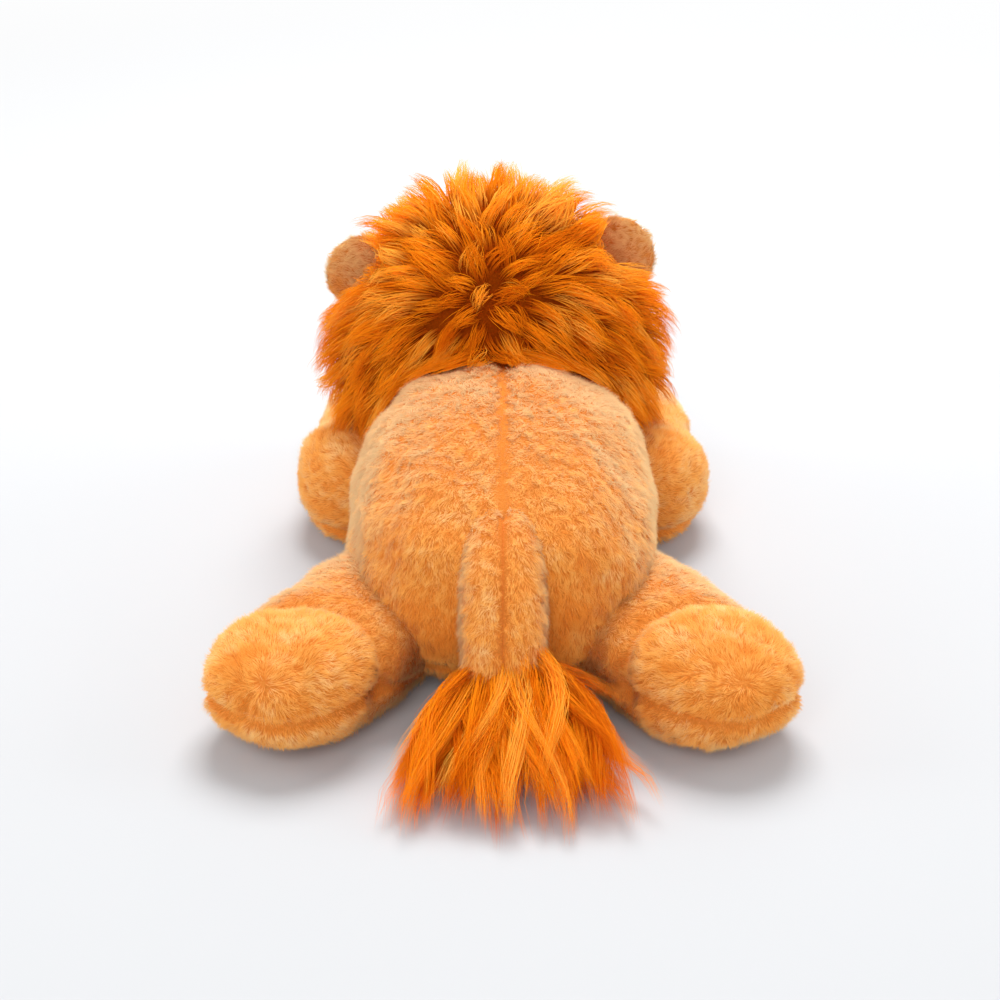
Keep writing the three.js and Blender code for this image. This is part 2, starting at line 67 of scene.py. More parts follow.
def waves(points, size, seed, count=9):
    # smooth lumps about as wide as size, from -1 to 1 or so
    own = np.random.default_rng(seed)
    total = np.zeros(len(points))
    for k in range(count):
        way = unit(own.normal(size=3)) * 2 * math.pi / (size * own.uniform(0.75, 1.9))
        total += np.sin(points @ way + own.uniform(0, 2 * math.pi))
    return total * math.sqrt(2 / count)


def waveVectors(points, size, seed):
    return np.stack([waves(points, size, seed + k) for k in range(3)], axis=1)


def cubic(b, c, out, into, t):
    # from b to c, with the slopes out and into
    return b + out * t + (3 * (c - b) - 2 * out - into) * t**2 + (2 * (b - c) + out + into) * t**3


def curveThrough(controls, perSpan=80):
    # centripetal Catmull-Rom, as the CAD model's paths are
    given = np.array(controls, float)
    padded = np.vstack([2 * given[0] - given[1], given, 2 * given[-1] - given[-2]])
    t = np.linspace(0, 1, perSpan, endpoint=False)[:, None]
    points = []
    for a, b, c, d in zip(padded, padded[1:], padded[2:], padded[3:]):
        ab, bc, cd = [math.sqrt(np.linalg.norm(q - p)) for p, q in ((a, b), (b, c), (c, d))]
        out = ((b - a) / ab - (c - a) / (ab + bc) + (c - b) / bc) * bc
        into = ((c - b) / bc - (d - b) / (bc + cd) + (d - c) / cd) * bc
        points.append(cubic(b, c, out, into, t))
    return np.vstack([*points, given[-1:]])


def smoothly(sizes, shares):
    # reads a short list of sizes as a smooth line from 0 to 1
    sizes = np.array(sizes, float)
    at = np.clip(shares, 0, 1) * (len(sizes) - 1)
    k = np.minimum(at.astype(int), len(sizes) - 2)
    t = at - k
    a, b, c, d = [sizes[np.clip(k + step, 0, len(sizes) - 1)] for step in (-1, 0, 1, 2)]
    return cubic(b, c, (c - a) / 2, (d - b) / 2, t)


def withPower(values, power):
    # keeps the sign
    return np.sign(values) * np.abs(values) ** power


headTilt = {"lean": math.radians(4.5), "height": 0.040}


def leaned(points):
    c, s = math.cos(headTilt["lean"]), math.sin(headTilt["lean"])
    x, z = points[..., 0], points[..., 2] - headTilt["height"]
    return np.stack([x * c - z * s, points[..., 1], x * s + z * c + headTilt["height"]], axis=-1)


def runAlong(line):
    # the length of a line up to each of its points
    steps = np.linalg.norm(np.diff(line, axis=0), axis=1)
    return np.concatenate([[0], np.cumsum(steps)])


stuffing = {"settle": 0.0005, "sectionPower": 0.87, "restingPower": 0.72, "rootsWithin": 0.0008}
clothInset = 0.0014
sharpAngle = math.radians(50)
bothSides = {"left": -1, "right": 1}


def stuffedGrid(form, inset=0.0, rings=90, sides=96):
    # rings of points along the form's path, from end to end, drawn in by inset
    line = curveThrough(form["path"])
    run = runAlong(line)
    length = run[-1]
    spaced = (1 - np.cos(np.pi * np.arange(rings + 1) / rings)) / 2
    first = inset / length
    share = first + (1 - 2 * first) * spaced
    inside = np.clip(share, 0, 1) * length

    def read(values):
        return np.stack([np.interp(inside, run, values[:, k]) for k in range(3)], axis=1)

    along = unit(read(unit(np.gradient(line, axis=0))))
    middle = read(line) + along * (share * length - inside)[:, None]
    aside = unit(np.cross(along, [0, 0, 1]))
    above = np.cross(aside, along)
    full = form["fullness"]
    rounding = np.maximum(1 - np.abs(2 * spaced - 1) ** full, 0) ** (1 / full)
    halfWidth = smoothly(form["halfWidths"], share)
    topHalf = smoothly(form["topHalves"], share)
    underHalf = middle[:, 2] + stuffing["settle"] if form.get("lying") else topHalf
    turn = 2 * np.pi * np.arange(sides) / sides
    resting = (turn > np.pi) & bool(form.get("lying"))
    power = np.where(resting, stuffing["restingPower"], stuffing["sectionPower"])
    out, rise = withPower(np.cos(turn), power), withPower(np.sin(turn), power)
    half = np.where(rise[None] > 0, topHalf[:, None], underHalf[:, None]) - inset
    across = ((halfWidth - inset) * rounding)[:, None] * out[None]
    points = middle[:, None] + aside[:, None] * across[..., None]
    points = points + above[:, None] * (half * rounding[:, None] * rise[None])[..., None]
    return leaned(points) if form.get("inHead") else points


def normalsOf(grid):
    after = np.roll(grid, -1, axis=1)
    a, b, c, d = grid[:-1], grid[1:], after[1:], after[:-1]
    faces = np.cross(c - a, b - d)
    normals = np.zeros_like(grid)
    normals[:-1] += faces
    normals[1:] += faces
    normals += np.roll(normals, 1, axis=1)
    normals[0], normals[-1] = normals[0].sum(0), normals[-1].sum(0)
    return -unit(normals), np.linalg.norm(faces, axis=-1) / 2


def meshOf(name, points, faceSizes, corners, uvs=None):
    mesh = bpy.data.meshes.new(name)
    mesh.vertices.add(len(points))
    mesh.vertices.foreach_set("co", np.ascontiguousarray(points, np.float32).ravel())
    mesh.loops.add(len(corners))
    mesh.loops.foreach_set("vertex_index", corners.astype(np.int32))
    mesh.polygons.add(len(faceSizes))
    starts = np.concatenate([[0], np.cumsum(faceSizes)[:-1]])
    mesh.polygons.foreach_set("loop_start", starts.astype(np.int32))
    mesh.polygons.foreach_set("loop_total", faceSizes.astype(np.int32))
    mesh.polygons.foreach_set("use_smooth", np.ones(len(faceSizes), bool))
    mesh.update(calc_edges=True)
    if uvs is not None:
        layer = mesh.uv_layers.new(name="OFBake")
        layer.data.foreach_set("uv", uvs[corners].astype(np.float32).ravel())
    piece = bpy.data.objects.new(name, mesh)
    bpy.context.scene.collection.objects.link(piece)
    return piece


def closedSkin(name, grid):
    # a mesh of quads over the rings, with each end drawn to a point
    rings, sides = grid.shape[0] - 1, grid.shape[1]
    points = np.vstack([grid[:1, 0], grid[1:-1].reshape(-1, 3), grid[-1:, 0]])
    side = np.arange(sides)
    near, far = 1 + side, 1 + (side + 1) % sides
    ring = (np.arange(rings - 2) * sides)[:, None]
    quads = np.stack([ring + far, ring + near, ring + near + sides, ring + far + sides], axis=-1).reshape(-1)
    last = 1 + (rings - 1) * sides
    before = last - 1 - sides
    cap = np.stack([np.zeros(sides, int), near, far], axis=-1).reshape(-1)
    end = np.stack([far + before, near + before, np.full(sides, last)], axis=-1).reshape(-1)
    sizes = np.concatenate([np.full(sides, 3), np.full(sides * (rings - 2), 4), np.full(sides, 3)])
    return meshOf(name, points, sizes, np.concatenate([cap, quads, end]))


def treeOf(grid):
    # for asking where the form's surface is
    rings, sides = grid.shape[0] - 1, grid.shape[1]
    faces = [
        (r * sides + s, (r + 1) * sides + s, (r + 1) * sides + (s + 1) % sides, r * sides + (s + 1) % sides)
        for r in range(rings) for s in range(sides)
    ]
    return BVHTree.FromPolygons(grid.reshape(-1, 3).tolist(), faces), grid.reshape(-1, 3)


def heightOver(points, tree, reach=0.02):
    # how far points are outside a closed form, with the nearest places and the ways out
    bvh, corners = tree
    low, high = corners.min(0) - reach, corners.max(0) + reach
    height = np.full(len(points), reach)
    ways = np.zeros((len(points), 3))
    for k in np.flatnonzero(np.all((points > low) & (points < high), axis=1)):
        place, normal, _, _ = bvh.find_nearest(points[k])
        gap = Vector(points[k]) - place
        height[k] = gap.length if gap.dot(normal) > 0 else -gap.length
        ways[k] = normal
    return height, ways


def keptOutside(points, tree, clearance):
    height, ways = heightOver(points, tree)
    short = np.clip(clearance - height, 0, None)
    return points + ways * short[:, None]


def cutAway(piece, grid):
    # takes the volume of another closed form out of a piece
    tool = closedSkin("tool", grid)
    cutter = piece.modifiers.new("cut", "BOOLEAN")
    cutter.operation, cutter.solver, cutter.object = "DIFFERENCE", "MANIFOLD", tool
    shaped = bpy.data.meshes.new_from_object(piece.evaluated_get(bpy.context.evaluated_depsgraph_get()))
    piece.modifiers.clear()
    piece.data = shaped
    shaped.shade_smooth()
    shaped.set_sharp_from_angle(angle=sharpAngle)
    bpy.data.objects.remove(tool)


hairShape = {
    "angles": (math.pi / 6, 5 * math.pi / 6, 3 * math.pi / 2), "flatness": 0.55, "shadeStep": 0.012,
    "roundness": 0.45, "taper": 1.5, "tipAlong": 0.995,
}
shadeRange = (0.01, 0.96)


def hairMesh(name, lines, radii, shades, facing):
    # One tapered three-sided hair along each line, its broad side up. The map holds shade
    # across and root to tip upwards. The normals lean on the pile's, which keeps it bright.
    count, knots = lines.shape[:2]
    ways = unit(np.gradient(lines, axis=1))
    side = unit(np.cross(ways, facing[:, None]))
    face = np.cross(side, ways)
    onwards = np.arange(knots - 1) / (knots - 1)
    taper = 1 - onwards ** hairShape["taper"]
    reach = radii[:, None, None] * taper[None, :, None]
    edges = []
    for j, angle in enumerate(hairShape["angles"]):
        outwards = math.cos(angle) * side[:, :-1] + hairShape["flatness"] * math.sin(angle) * face[:, :-1]
        normals = unit(face[:, :-1] * 0.5 + facing[:, None] * 0.5 + outwards * hairShape["roundness"])
        across = shades + j * hairShape["shadeStep"]
        uvs = np.stack(np.broadcast_arrays(across[:, None], onwards), axis=-1)
        edges.append(np.concatenate([lines[:, :-1] + reach * outwards, normals, uvs], axis=-1))
    tipUv = np.stack([shades + hairShape["shadeStep"], np.full(count, hairShape["tipAlong"])], axis=-1)
    tip = np.concatenate([lines[:, -1:], unit(face[:, -1:] + facing[:, None]), tipUv[:, None]], axis=-1)
    hairs = np.concatenate([np.stack(edges, axis=2).reshape(count, -1, 8), tip], axis=1)
    perHair = hairs.shape[1]
    points, normals, uvs = np.split(hairs.reshape(-1, 8), (3, 6), axis=1)
    corners = []
    for k in range(0, 3 * (knots - 2), 3):
        for j, n in ((0, 1), (1, 2), (2, 0)):
            corners += [k + n, k + j, k + 3 + j, k + 3 + n]
    for j, n in ((0, 1), (1, 2), (2, 0)):
        corners += [perHair - 4 + n, perHair - 4 + j, perHair - 1]
    sizes = [4] * (3 * (knots - 2)) + [3] * 3
    allCorners = (np.arange(count)[:, None] * perHair + np.array(corners)[None]).ravel()
    piece = meshOf(name, points, np.tile(sizes, count), allCorners, uvs)
    piece.data.normals_split_custom_set_from_vertices(normals.astype(np.float32))
    return piece


def hairPieces(name, parts, lines, radii, shades, facing):
    return [hairMesh(f"{name}_{k + 1}", lines[part], radii[part], shades[part], facing[part])
            for k, part in enumerate(parts)]


def spotsOn(grid, count, own):
    # random places on a grid's surface: place, way out, way along the form
    normals, areas = normalsOf(grid)
    along = unit(np.gradient(grid, axis=0))
    chosen = np.searchsorted(np.cumsum(areas.ravel()), own.random(count) * areas.sum())
    r, s = np.divmod(np.minimum(chosen, areas.size - 1), grid.shape[1])
    u, v = own.random(count)[:, None], own.random(count)[:, None]
    n = (s + 1) % grid.shape[1]

    def read(values):
        near = values[r, s] * (1 - u) + values[r + 1, s] * u
        return near * (1 - v) + (values[r, n] * (1 - u) + values[r + 1, n] * u) * v

    return read(grid), unit(read(normals)), unit(read(along))


def shadesOf(points, seed, tone):
    # in broad and fine patches
    own = np.random.default_rng(seed)
    shade = tone + 0.13 * waves(points, 0.012, seed + 1) + 0.1 * waves(points, 0.003, seed + 2)
    return np.clip(shade + own.normal(0, 0.09, len(points)), *shadeRange)


def awayFrom(seams, points, step=0.0005):
    # ways out of the seams, strongest close to them
    slopes = [seams(points - way) - seams(points + way) for way in np.eye(3) * step]
    return unit(np.stack(slopes, axis=1)) * (seams(points) ** 0.35)[:, None]


def growPile(name, grid, pile, flow, seed, keep, seams=None, darkened=None):
    # Short plush hair all over a skin, in more pieces where there is too much for one.
    # It is parted and shorter along seams, with painted shade in their grooves, and thin under the toy.
    own = np.random.default_rng(seed)
    _, areas = normalsOf(grid)
    count = int(areas.sum() * 1e6 * pile["perSquareMm"])
    roots, normals, along = spotsOn(grid, count, own)
    wanted = keep(roots, normals)
    under = (normals[:, 2] < pile["underNormal"]) & (roots[:, 2] < pile["underHeight"])
    wanted &= ~under | (own.random(count) < pile["underShare"])
    roots, normals, along = roots[wanted], normals[wanted], along[wanted]
    ways = flow(roots, normals, along)
    seamed = 0
    if seams:
        seamed = seams(roots)
        ways = ways + pile["parting"] * awayFrom(seams, roots)
    curl = pile["curlSize"]
    ways = ways + pile["curl"] * waveVectors(roots, curl, seed + 5)
    ways = flattened(ways + own.normal(0, pile["stray"], roots.shape), normals)
    lean = pile["lean"] + pile["leanWaves"] * waves(roots, curl, seed + 9)
    lean = (lean + own.normal(0, pile["leanSpread"], len(roots)))[:, None]
    longer = 1 + pile["lengthWaves"] * waves(roots, curl * 2, seed + 10)
    longer = longer + own.normal(0, pile["lengthSpread"], len(roots))
    length = pile["length"] * longer * (1 - pile["seamCut"] * seamed)
    shortest, longest = pile["lengths"]
    length = np.clip(length, pile["length"] * shortest, pile["length"] * longest)[:, None]
    first, last = lean * pile["firstLean"], lean * pile["lastLean"]
    middles = roots + length * 0.5 * (normals * np.cos(first) + ways * np.sin(first))
    tips = middles + length * 0.5 * (normals * np.cos(last) + ways * np.sin(last))
    lines = np.stack([roots - normals * pile["buried"], tips], axis=1)
    lines[..., 2] = np.maximum(lines[..., 2], pile["lowest"])
    # painted shade: darker along the seams' grooves
    shades = shadesOf(roots, seed + 20, pile["tone"]) - pile["seamPaintedShade"] * seamed
    # darkened adds painted shade where a piece gives it, such as under the tail and in the ankle crease
    shades = np.clip(shades - (darkened(roots) if darkened else 0), *shadeRange)
    radii = pile["radius"] * own.uniform(0.75, 1.25, len(roots))
    runs = max(1, math.ceil(len(roots) / pile["mostHairs"]))
    order = np.argsort(roots[:, 1], kind="stable")
    return hairPieces(name, np.array_split(order, runs), lines, radii, shades, normals)


# finishes

def groupOf(name, takes, gives):
    group = bpy.data.node_groups.new(name, "ShaderNodeTree")
    for way, sockets in (("INPUT", takes), ("OUTPUT", gives)):
        for label, kind in sockets.items():
            group.interface.new_socket(label, in_out=way, socket_type=f"NodeSocket{kind}")
    return group, group.nodes.new("NodeGroupInput"), group.nodes.new("NodeGroupOutput")


def feed(node, sockets):
    # each socket takes a value or the output of another node
    for label, value in sockets.items():
        if isinstance(value, bpy.types.NodeSocket):
            node.id_data.links.new(value, node.inputs[label])
        else:
            node.inputs[label].default_value = value


def addNode(tree, kind, sockets=(), operation=None):
    node = tree.nodes.new(f"ShaderNode{kind}")
    if operation:
        node.operation = operation
    feed(node, dict(sockets))
    return node


def mixColour(tree, factor, first, second):
    node = tree.nodes.new("ShaderNodeMix")
    node.data_type = "RGBA"
    feed(node, {0: factor, 6: first, 7: second})
    return node.outputs[2]


def mixShaders(tree, factor, first, second):
    return addNode(tree, "MixShader", {"Fac": factor, 1: first.outputs[0], 2: second.outputs[0]})


def texture(tree, kind, sockets):
    # a procedural texture, or another node that takes the piece's own coordinates
    place = addNode(tree, "TexCoord").outputs["Object"]
    return addNode(tree, kind, {"Vector": place, **sockets}).outputs


# colour of a dyed hair, from its shade and from root to tip
hairDye, inner, outer = groupOf(
    "hair dye",
    {"Shade": "Float", "Along": "Float", "Root Share": "Float"}
    | {word: "Color" for word in ("Root", "Deep", "Middle", "Pale")},
    {"Color": "Color"},
)
taken = inner.outputs
lower = addNode(hairDye, "MapRange", {"Value": taken["Shade"], "From Max": 0.5})
higher = addNode(hairDye, "MapRange", {"Value": taken["Shade"], "From Min": 0.5})
fromRoot = addNode(hairDye, "MapRange", {"Value": taken["Along"], "From Max": taken["Root Share"]})
fromRoot.interpolation_type = "SMOOTHSTEP"
dyed = mixColour(hairDye, lower.outputs[0], taken["Deep"], taken["Middle"])
dyed = mixColour(hairDye, higher.outputs[0], dyed, taken["Pale"])
feed(outer, {"Color": mixColour(hairDye, fromRoot.outputs[0], taken["Root"], dyed)})

# the knitted backing cloth under the pile: colour and height, with painted shadow between the loops, and the
# same dark in broad random patches
knitCloth, inner, outer = groupOf(
    "knit backing",
    {"Yarn": "Color", "Shadow": "Color", "Scale": "Float"},
    {"Color": "Color", "Height": "Float"},
)
taken = inner.outputs
loops = texture(knitCloth, "TexVoronoi", {"Scale": taken["Scale"]})
patches = texture(knitCloth, "TexNoise", {"Scale": 60, "Detail": 5})
shaded = mixColour(knitCloth, loops["Distance"], taken["Yarn"], taken["Shadow"])
shaded = mixColour(knitCloth, patches["Fac"], taken["Shadow"], shaded)
feed(outer, {"Color": shaded, "Height": loops["Distance"]})


def finish(name, roughness, sheen=0.0, sheenTint=(1, 1, 1, 1), coat=0.0, gloss=0.0):
    material = bpy.data.materials.new(name)
    material.use_nodes = True
    shader = material.node_tree.nodes["Principled BSDF"]
    feed(shader, {
        "Roughness": roughness, "Sheen Weight": sheen, "Sheen Roughness": 0.45, "Sheen Tint": sheenTint,
        "Specular IOR Level": gloss, "Coat Weight": coat,
    })
    return material, material.node_tree, shader


def speckled(name, scale, dark, pale, **shine):
    # a finish whose colour varies finely between two tints
    material, tree, shader = finish(name, **shine)
    speckles = texture(tree, "TexNoise", {"Scale": scale})["Fac"]
    feed(shader, {"Base Color": mixColour(tree, speckles, (*dark, 1), (*pale, 1))})
    return material, tree, shader


def emboss(tree, shader, height, distance):
    bump = addNode(tree, "Bump", {"Strength": 0.5, "Distance": distance, "Height": height})
    feed(shader, {"Normal": bump.outputs["Normal"]})


def hairFinish(name, look):
    material, tree, shader = finish(name, look["roughness"], look["sheen"], look["sheenTint"])
    mapped = addNode(tree, "UVMap")
    mapped.uv_map = "OFBake"
    split = addNode(tree, "SeparateXYZ", {0: mapped.outputs["UV"]})
    dye = addNode(tree, "Group")
    dye.node_tree = hairDye
    feed(dye, {"Shade": split.outputs["X"], "Along": split.outputs["Y"], "Root Share": look["rootShare"]})
    feed(dye, {word: (*look[word.lower()], 1) for word in ("Root", "Deep", "Middle", "Pale")})
    feed(shader, {"Base Color": dye.outputs["Color"]})
    # a fibre lets light through: its underside is lit from above
    shape = addNode(tree, "NewGeometry").outputs
    level = addNode(tree, "VectorMath", {0: shape["Normal"], 1: shape["True Normal"]}, "DOT_PRODUCT")
    underside = addNode(tree, "MapRange",
                        {"Value": level.outputs["Value"], "From Min": 0.25, "From Max": -0.25})
    # painted sheen: towards grazing angles the lit colour pales, as fibres catch the light at the edges
    facing = addNode(tree, "LayerWeight", {"Blend": 0.65})
    paintedSheenColour = mixColour(tree, facing.outputs["Facing"], dye.outputs["Color"], (*look["paintedSheen"], 1))
    lit = addNode(tree, "BsdfTranslucent", {"Color": paintedSheenColour, "Normal": shape["True Normal"]})
    fibre = mixShaders(tree, underside.outputs["Result"], shader, lit)
    # and its shadow on the others is faint
    rays = addNode(tree, "LightPath").outputs["Is Camera Ray"]
    share = addNode(tree, "MapRange", {"Value": rays, "To Min": look["throughShare"], "To Max": 0})
    through = addNode(tree, "BsdfTransparent")
    both = mixShaders(tree, share.outputs["Result"], fibre, through)
    feed(tree.nodes["Material Output"], {"Surface": both.outputs[0]})
    return material


def clothFinish(name, yarn, shadow):
    material, tree, shader = finish(name, 0.9)
    cloth = addNode(tree, "Group")
    cloth.node_tree = knitCloth
    feed(cloth, {"Yarn": (*yarn, 1), "Shadow": (*shadow, 1), "Scale": 900})
    feed(shader, {"Base Color": cloth.outputs["Color"]})
    emboss(tree, shader, cloth.outputs["Height"], 0.0004)
    return material


goldHair = hairFinish("gold plush pile", {
    "root": (0.70, 0.15, 0.010), "deep": (0.90, 0.29, 0.038), "middle": (0.98, 0.43, 0.090),
    "pale": (1.0, 0.62, 0.250), "paintedSheen": (1.0, 0.74, 0.380), "rootShare": 0.6, "roughness": 0.8,
    "sheen": 0.65, "sheenTint": (1, 0.80, 0.52, 1), "throughShare": 0.82,
})
# the mane's own rust, with root and deep darkened also as painted shade in the gaps between locks
rustHair = hairFinish("rust mane hair", {
    "root": (0.42, 0.062, 0.002), "deep": (0.66, 0.118, 0.002), "middle": (1.0, 0.285, 0.007),
    "pale": (1.0, 0.460, 0.060), "paintedSheen": (1.0, 0.420, 0.060), "rootShare": 0.55, "roughness": 0.7,
    "sheen": 0.15, "sheenTint": (1, 0.45, 0.10, 1), "throughShare": 0.25,
})
creamHair = hairFinish("cream muzzle pile", {
    "root": (0.66, 0.52, 0.36), "deep": (0.80, 0.68, 0.50), "middle": (0.89, 0.79, 0.62),
    "pale": (0.95, 0.88, 0.74), "paintedSheen": (1.0, 0.92, 0.80), "rootShare": 0.6, "roughness": 0.8,
    "sheen": 0.3, "sheenTint": (1, 0.95, 0.88, 1), "throughShare": 0.6,
})
goldCloth = clothFinish("gold backing cloth", (0.88, 0.330, 0.070), (0.66, 0.190, 0.028))
# painted shade: the mane's backing is dark brown so that the gaps between locks read as shadow
rustShadeBacking = clothFinish("rust backing painted dark", (0.44, 0.070, 0.003), (0.22, 0.032, 0.001))
creamCloth = clothFinish("cream backing cloth", (0.80, 0.66, 0.48), (0.60, 0.46, 0.30))
print("finishes made")


def dress(pieces, material, body=None, joins=None):
    # joins marks a piece that lies across a joint: it is baked in place and tied to no body. The bodies and
    # ends that joins holds, (body, body, start, end), are not used here.
    for piece in pieces:
        piece.data.materials.clear()
        piece.data.materials.append(material)
        if joins:
            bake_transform(piece)
        else:
            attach(piece, body)


def dressGold(skin, pile, body=None, joins=None):
    dress([skin], goldCloth, body, joins)
    dress(pile, goldHair, body, joins)


# torso

shortPile = {
    "perSquareMm": 3.5, "length": 0.0044, "radius": 0.00018, "lean": 1.20, "curl": 0.40, "curlSize": 0.0050,
    "stray": 0.26, "underShare": 0.15, "tone": 0.50, "parting": 0.85, "seamCut": 0.72, "seamPaintedShade": 0.50,
    "buried": 0.0002, "lowest": 0.0003, "mostHairs": 63333, "underNormal": -0.75, "underHeight": 0.006,
    "leanWaves": 0.07, "leanSpread": 0.1, "lengthWaves": 0.12, "lengthSpread": 0.16, "lengths": (0.2, 1.6),
    "firstLean": 0.55, "lastLean": 1.3,
}

torso = {
    "path": [(0, -0.099, 0.044), (0, 0.076, 0.044)], "halfWidths": np.array([0.92, 0.97, 1, 1, 0.98]) * 0.065,
    "topHalves": np.array([0.84, 0.9, 1, 1, 0.97]) * 0.057, "fullness": 3.1, "lying": True,
    "seamHeight": 0.020, "seamDepth": 0.0016, "backSeamWidth": 0.0021, "levelSeamWidth": 0.0020,
    "levelSeamShare": 0.8, "backSeamAbove": 0.03, "backSeamEnds": (0.056, 0.044), "lumpHeight": 0.0007,
    "lumpSize": 0.030, "rumpPaintedShade": 0.48, "rumpBehind": (-0.076, -0.100), "rumpBelow": (0.092, 0.045),
}


def lumps(grid, height, size, seed):
    # gentle swellings of the stuffing, but none where the cover lies on the floor
    flat = grid.reshape(-1, 3)
    normals = normalsOf(grid)[0].reshape(-1, 3)
    swelling = (height * waves(flat, size, seed))[:, None]
    lifted = (flat + normals * swelling * softStep(0.002, 0.012, flat[:, 2:])).reshape(grid.shape)
    lifted[0], lifted[-1] = lifted[0].mean(0), lifted[-1].mean(0)
    return lifted


def grooved(grid, seamOf, depth):
    flat = grid.reshape(-1, 3)
    normals = normalsOf(grid)[0].reshape(-1, 3)
    return (flat - normals * (depth * seamOf(flat))[:, None]).reshape(grid.shape)


def torsoSeams(points):
    # one down the middle of the back, one round the belly panel
    x, y, z = points.T
    middle = np.exp(-(x / torso["backSeamWidth"]) ** 2) * (z > torso["backSeamAbove"])
    middle = middle * softStep(*torso["backSeamEnds"], y)
    level = np.exp(-((z - torso["seamHeight"]) / torso["levelSeamWidth"]) ** 2)
    return np.maximum(middle, level * torso["levelSeamShare"])


def paintedShadeUnderTail(points):
    # painted shade: the nap low on the rump, under the tail, is darkened as if in shadow and seen end on
    behind = softStep(*torso["rumpBehind"], points[:, 1])
    return torso["rumpPaintedShade"] * behind * softStep(*torso["rumpBelow"], points[:, 2])


torsoRoom = stuffedGrid(torso, clothInset)
torsoGrid = lumps(torsoRoom, torso["lumpHeight"], torso["lumpSize"], 40)
torsoGrid = grooved(torsoGrid, torsoSeams, torso["seamDepth"])
torsoTree = treeOf(torsoRoom)

# The nap of a paw fans out from a swirl, on a hind foot as far as a crease over the ankle.
# A dart is a place to the side, a lower end and an upper end.
legs = {
    "foreleg": {
        "rootX": 0.042, "rootY": 0.042, "spread": 0.023, "length": 0.126, "middle": 0.025,
        "pathShares": [(0, 0), (1, 0.21), (0.91, 0.57), (0.7, 1)], "halfWidth": 0.028, "halfHeight": 0.025,
        "widthShares": np.array([0.8, 1, 0.9, 0.94, 1]), "heightShares": np.array([1.1, 1.08, 0.9, 0.94, 1]),
        "fullness": 3, "seamHeight": 0.013, "toeRise": 0.004, "ankle": 0.118, "toe": 0.150, "darts": [],
        "swirl": (0.061, 0.150, 0.045), "fan": (0.022, 0.055), "creaseAway": 0.055, "creaseDepth": 0,
        "creasePaintedShade": 0, "panels": ("upper_panel", "stuffing", "under_panel"),
    },
    "hind_leg": {
        "rootX": 0.028, "rootY": -0.018, "spread": 0.074, "length": -0.116, "middle": 0.0255,
        "pathShares": [(0, 0), (0.3, 0.31), (0.61, 0.63), (1, 1)], "halfWidth": 0.036, "halfHeight": 0.0255,
        "widthShares": np.array([0.8, 0.9, 0.96, 1, 1]),
        "heightShares": np.array([1.1, 1.02, 0.86, 0.93, 0.96]),
        "fullness": 2.8, "seamHeight": 0.014, "toeRise": 0.0095, "ankle": -0.085, "toe": -0.120,
        "darts": [(0.099, 0.012, 0.034), (0.060, 0.022, 0.032)],
        "swirl": (0.093, -0.1375, 0.043), "fan": (0.046, 0.060), "creaseAway": 0.056, "creaseDepth": 0.0042,
        "creasePaintedShade": 0.42, "panels": ("upper_panel", "stuffing", "sole_panel", "pellet_pouch"),
    },
}
sewing = {
    "seamWidth": 0.0021, "seamDepth": 0.0022, "dartAt": -0.138, "dartWidth": 0.0015, "dartLean": 0.3,
    "dartSpread": 0.3, "dartShare": 0.9, "creaseWidth": 0.006, "creaseFoot": (0.006, 0.020),
    "swirlPaintedShade": 0.16, "swirlReach": (0.008, 0.030), "lumpHeight": 0.0006, "lumpSize": 0.026,
}


def legForm(leg, side):
    path = [
        (side * (leg["rootX"] + out * leg["spread"]), leg["rootY"] + on * leg["length"], leg["middle"])
        for out, on in leg["pathShares"]
    ]
    return {
        "path": path, "halfWidths": leg["widthShares"] * leg["halfWidth"],
        "topHalves": leg["heightShares"] * leg["halfHeight"], "fullness": leg["fullness"], "lying": True,
    }


legGrids = {
    (kind, word): stuffedGrid(legForm(leg, side), clothInset)
    for kind, leg in legs.items() for word, side in bothSides.items()
}
legTrees = {key: treeOf(grid) for key, grid in legGrids.items()}

tail = {
    "path": [(0, -0.062, 0.072), (0, -0.0898, 0.064), (0, -0.1107, 0.042), (0, -0.120, 0.022)],
    "halfWidths": [0.0175, 0.0175], "topHalves": [0.0175, 0.0175], "fullness": 4,
    "seamWidth": 0.0018, "seamDepth": 0.0024, "seamAbove": 0.03, "sewnAbove": 0.066,
    "bendFrom": (0, -0.080, 0.074), "bendTo": (0, -0.104, 0.058),
}
tailGrid = stuffedGrid(tail, clothInset, 70, 64)
tailTree = treeOf(tailGrid)

head = {
    "middle": (0, 0.092, 0.086), "halfLength": 0.049, "halfWidth": 0.052, "halfHeight": 0.050,
    "fullness": 2.2,
}
headMiddle = np.array(head["middle"])


def cushion(middle, halfLength, halfWidth, halfHeight, fullness=2.4):
    x, y, z = middle
    return {
        "path": [(x, y - halfLength, z), (x, y + halfLength, z)], "halfWidths": [halfWidth, halfWidth],
        "topHalves": [halfHeight, halfHeight], "fullness": fullness, "inHead": True,
    }


headGrid = stuffedGrid(cushion(**head), clothInset)
headTree = treeOf(headGrid)


def clearOf(*trees):
    # tells which hairs' roots lie outside the forms of other covers
    def keep(points, normals):
        outside = np.ones(len(points), bool)
        for tree in trees:
            outside &= heightOver(points, tree)[0] > -stuffing["rootsWithin"]
        return outside
    return keep


def backFlow(points, normals, along):
    # hair lies towards the tail and down the sides
    ways = np.stack([np.sign(points[:, 0]) * np.clip(np.abs(points[:, 0]) / 0.05, 0, 1) * 0.5,
                     np.full(len(points), -1.0), -softStep(0.095, 0.04, points[:, 2]) * 0.9], axis=1)
    return flattened(ways, normals)


def torsoHair(points, normals):
    # none where the legs and the root of the tail are sewn on
    tailRoot = (points[:, 2] > tail["sewnAbove"]) & ~clearOf(tailTree)(points, normals)
    return clearOf(*legTrees.values())(points, normals) & ~tailRoot


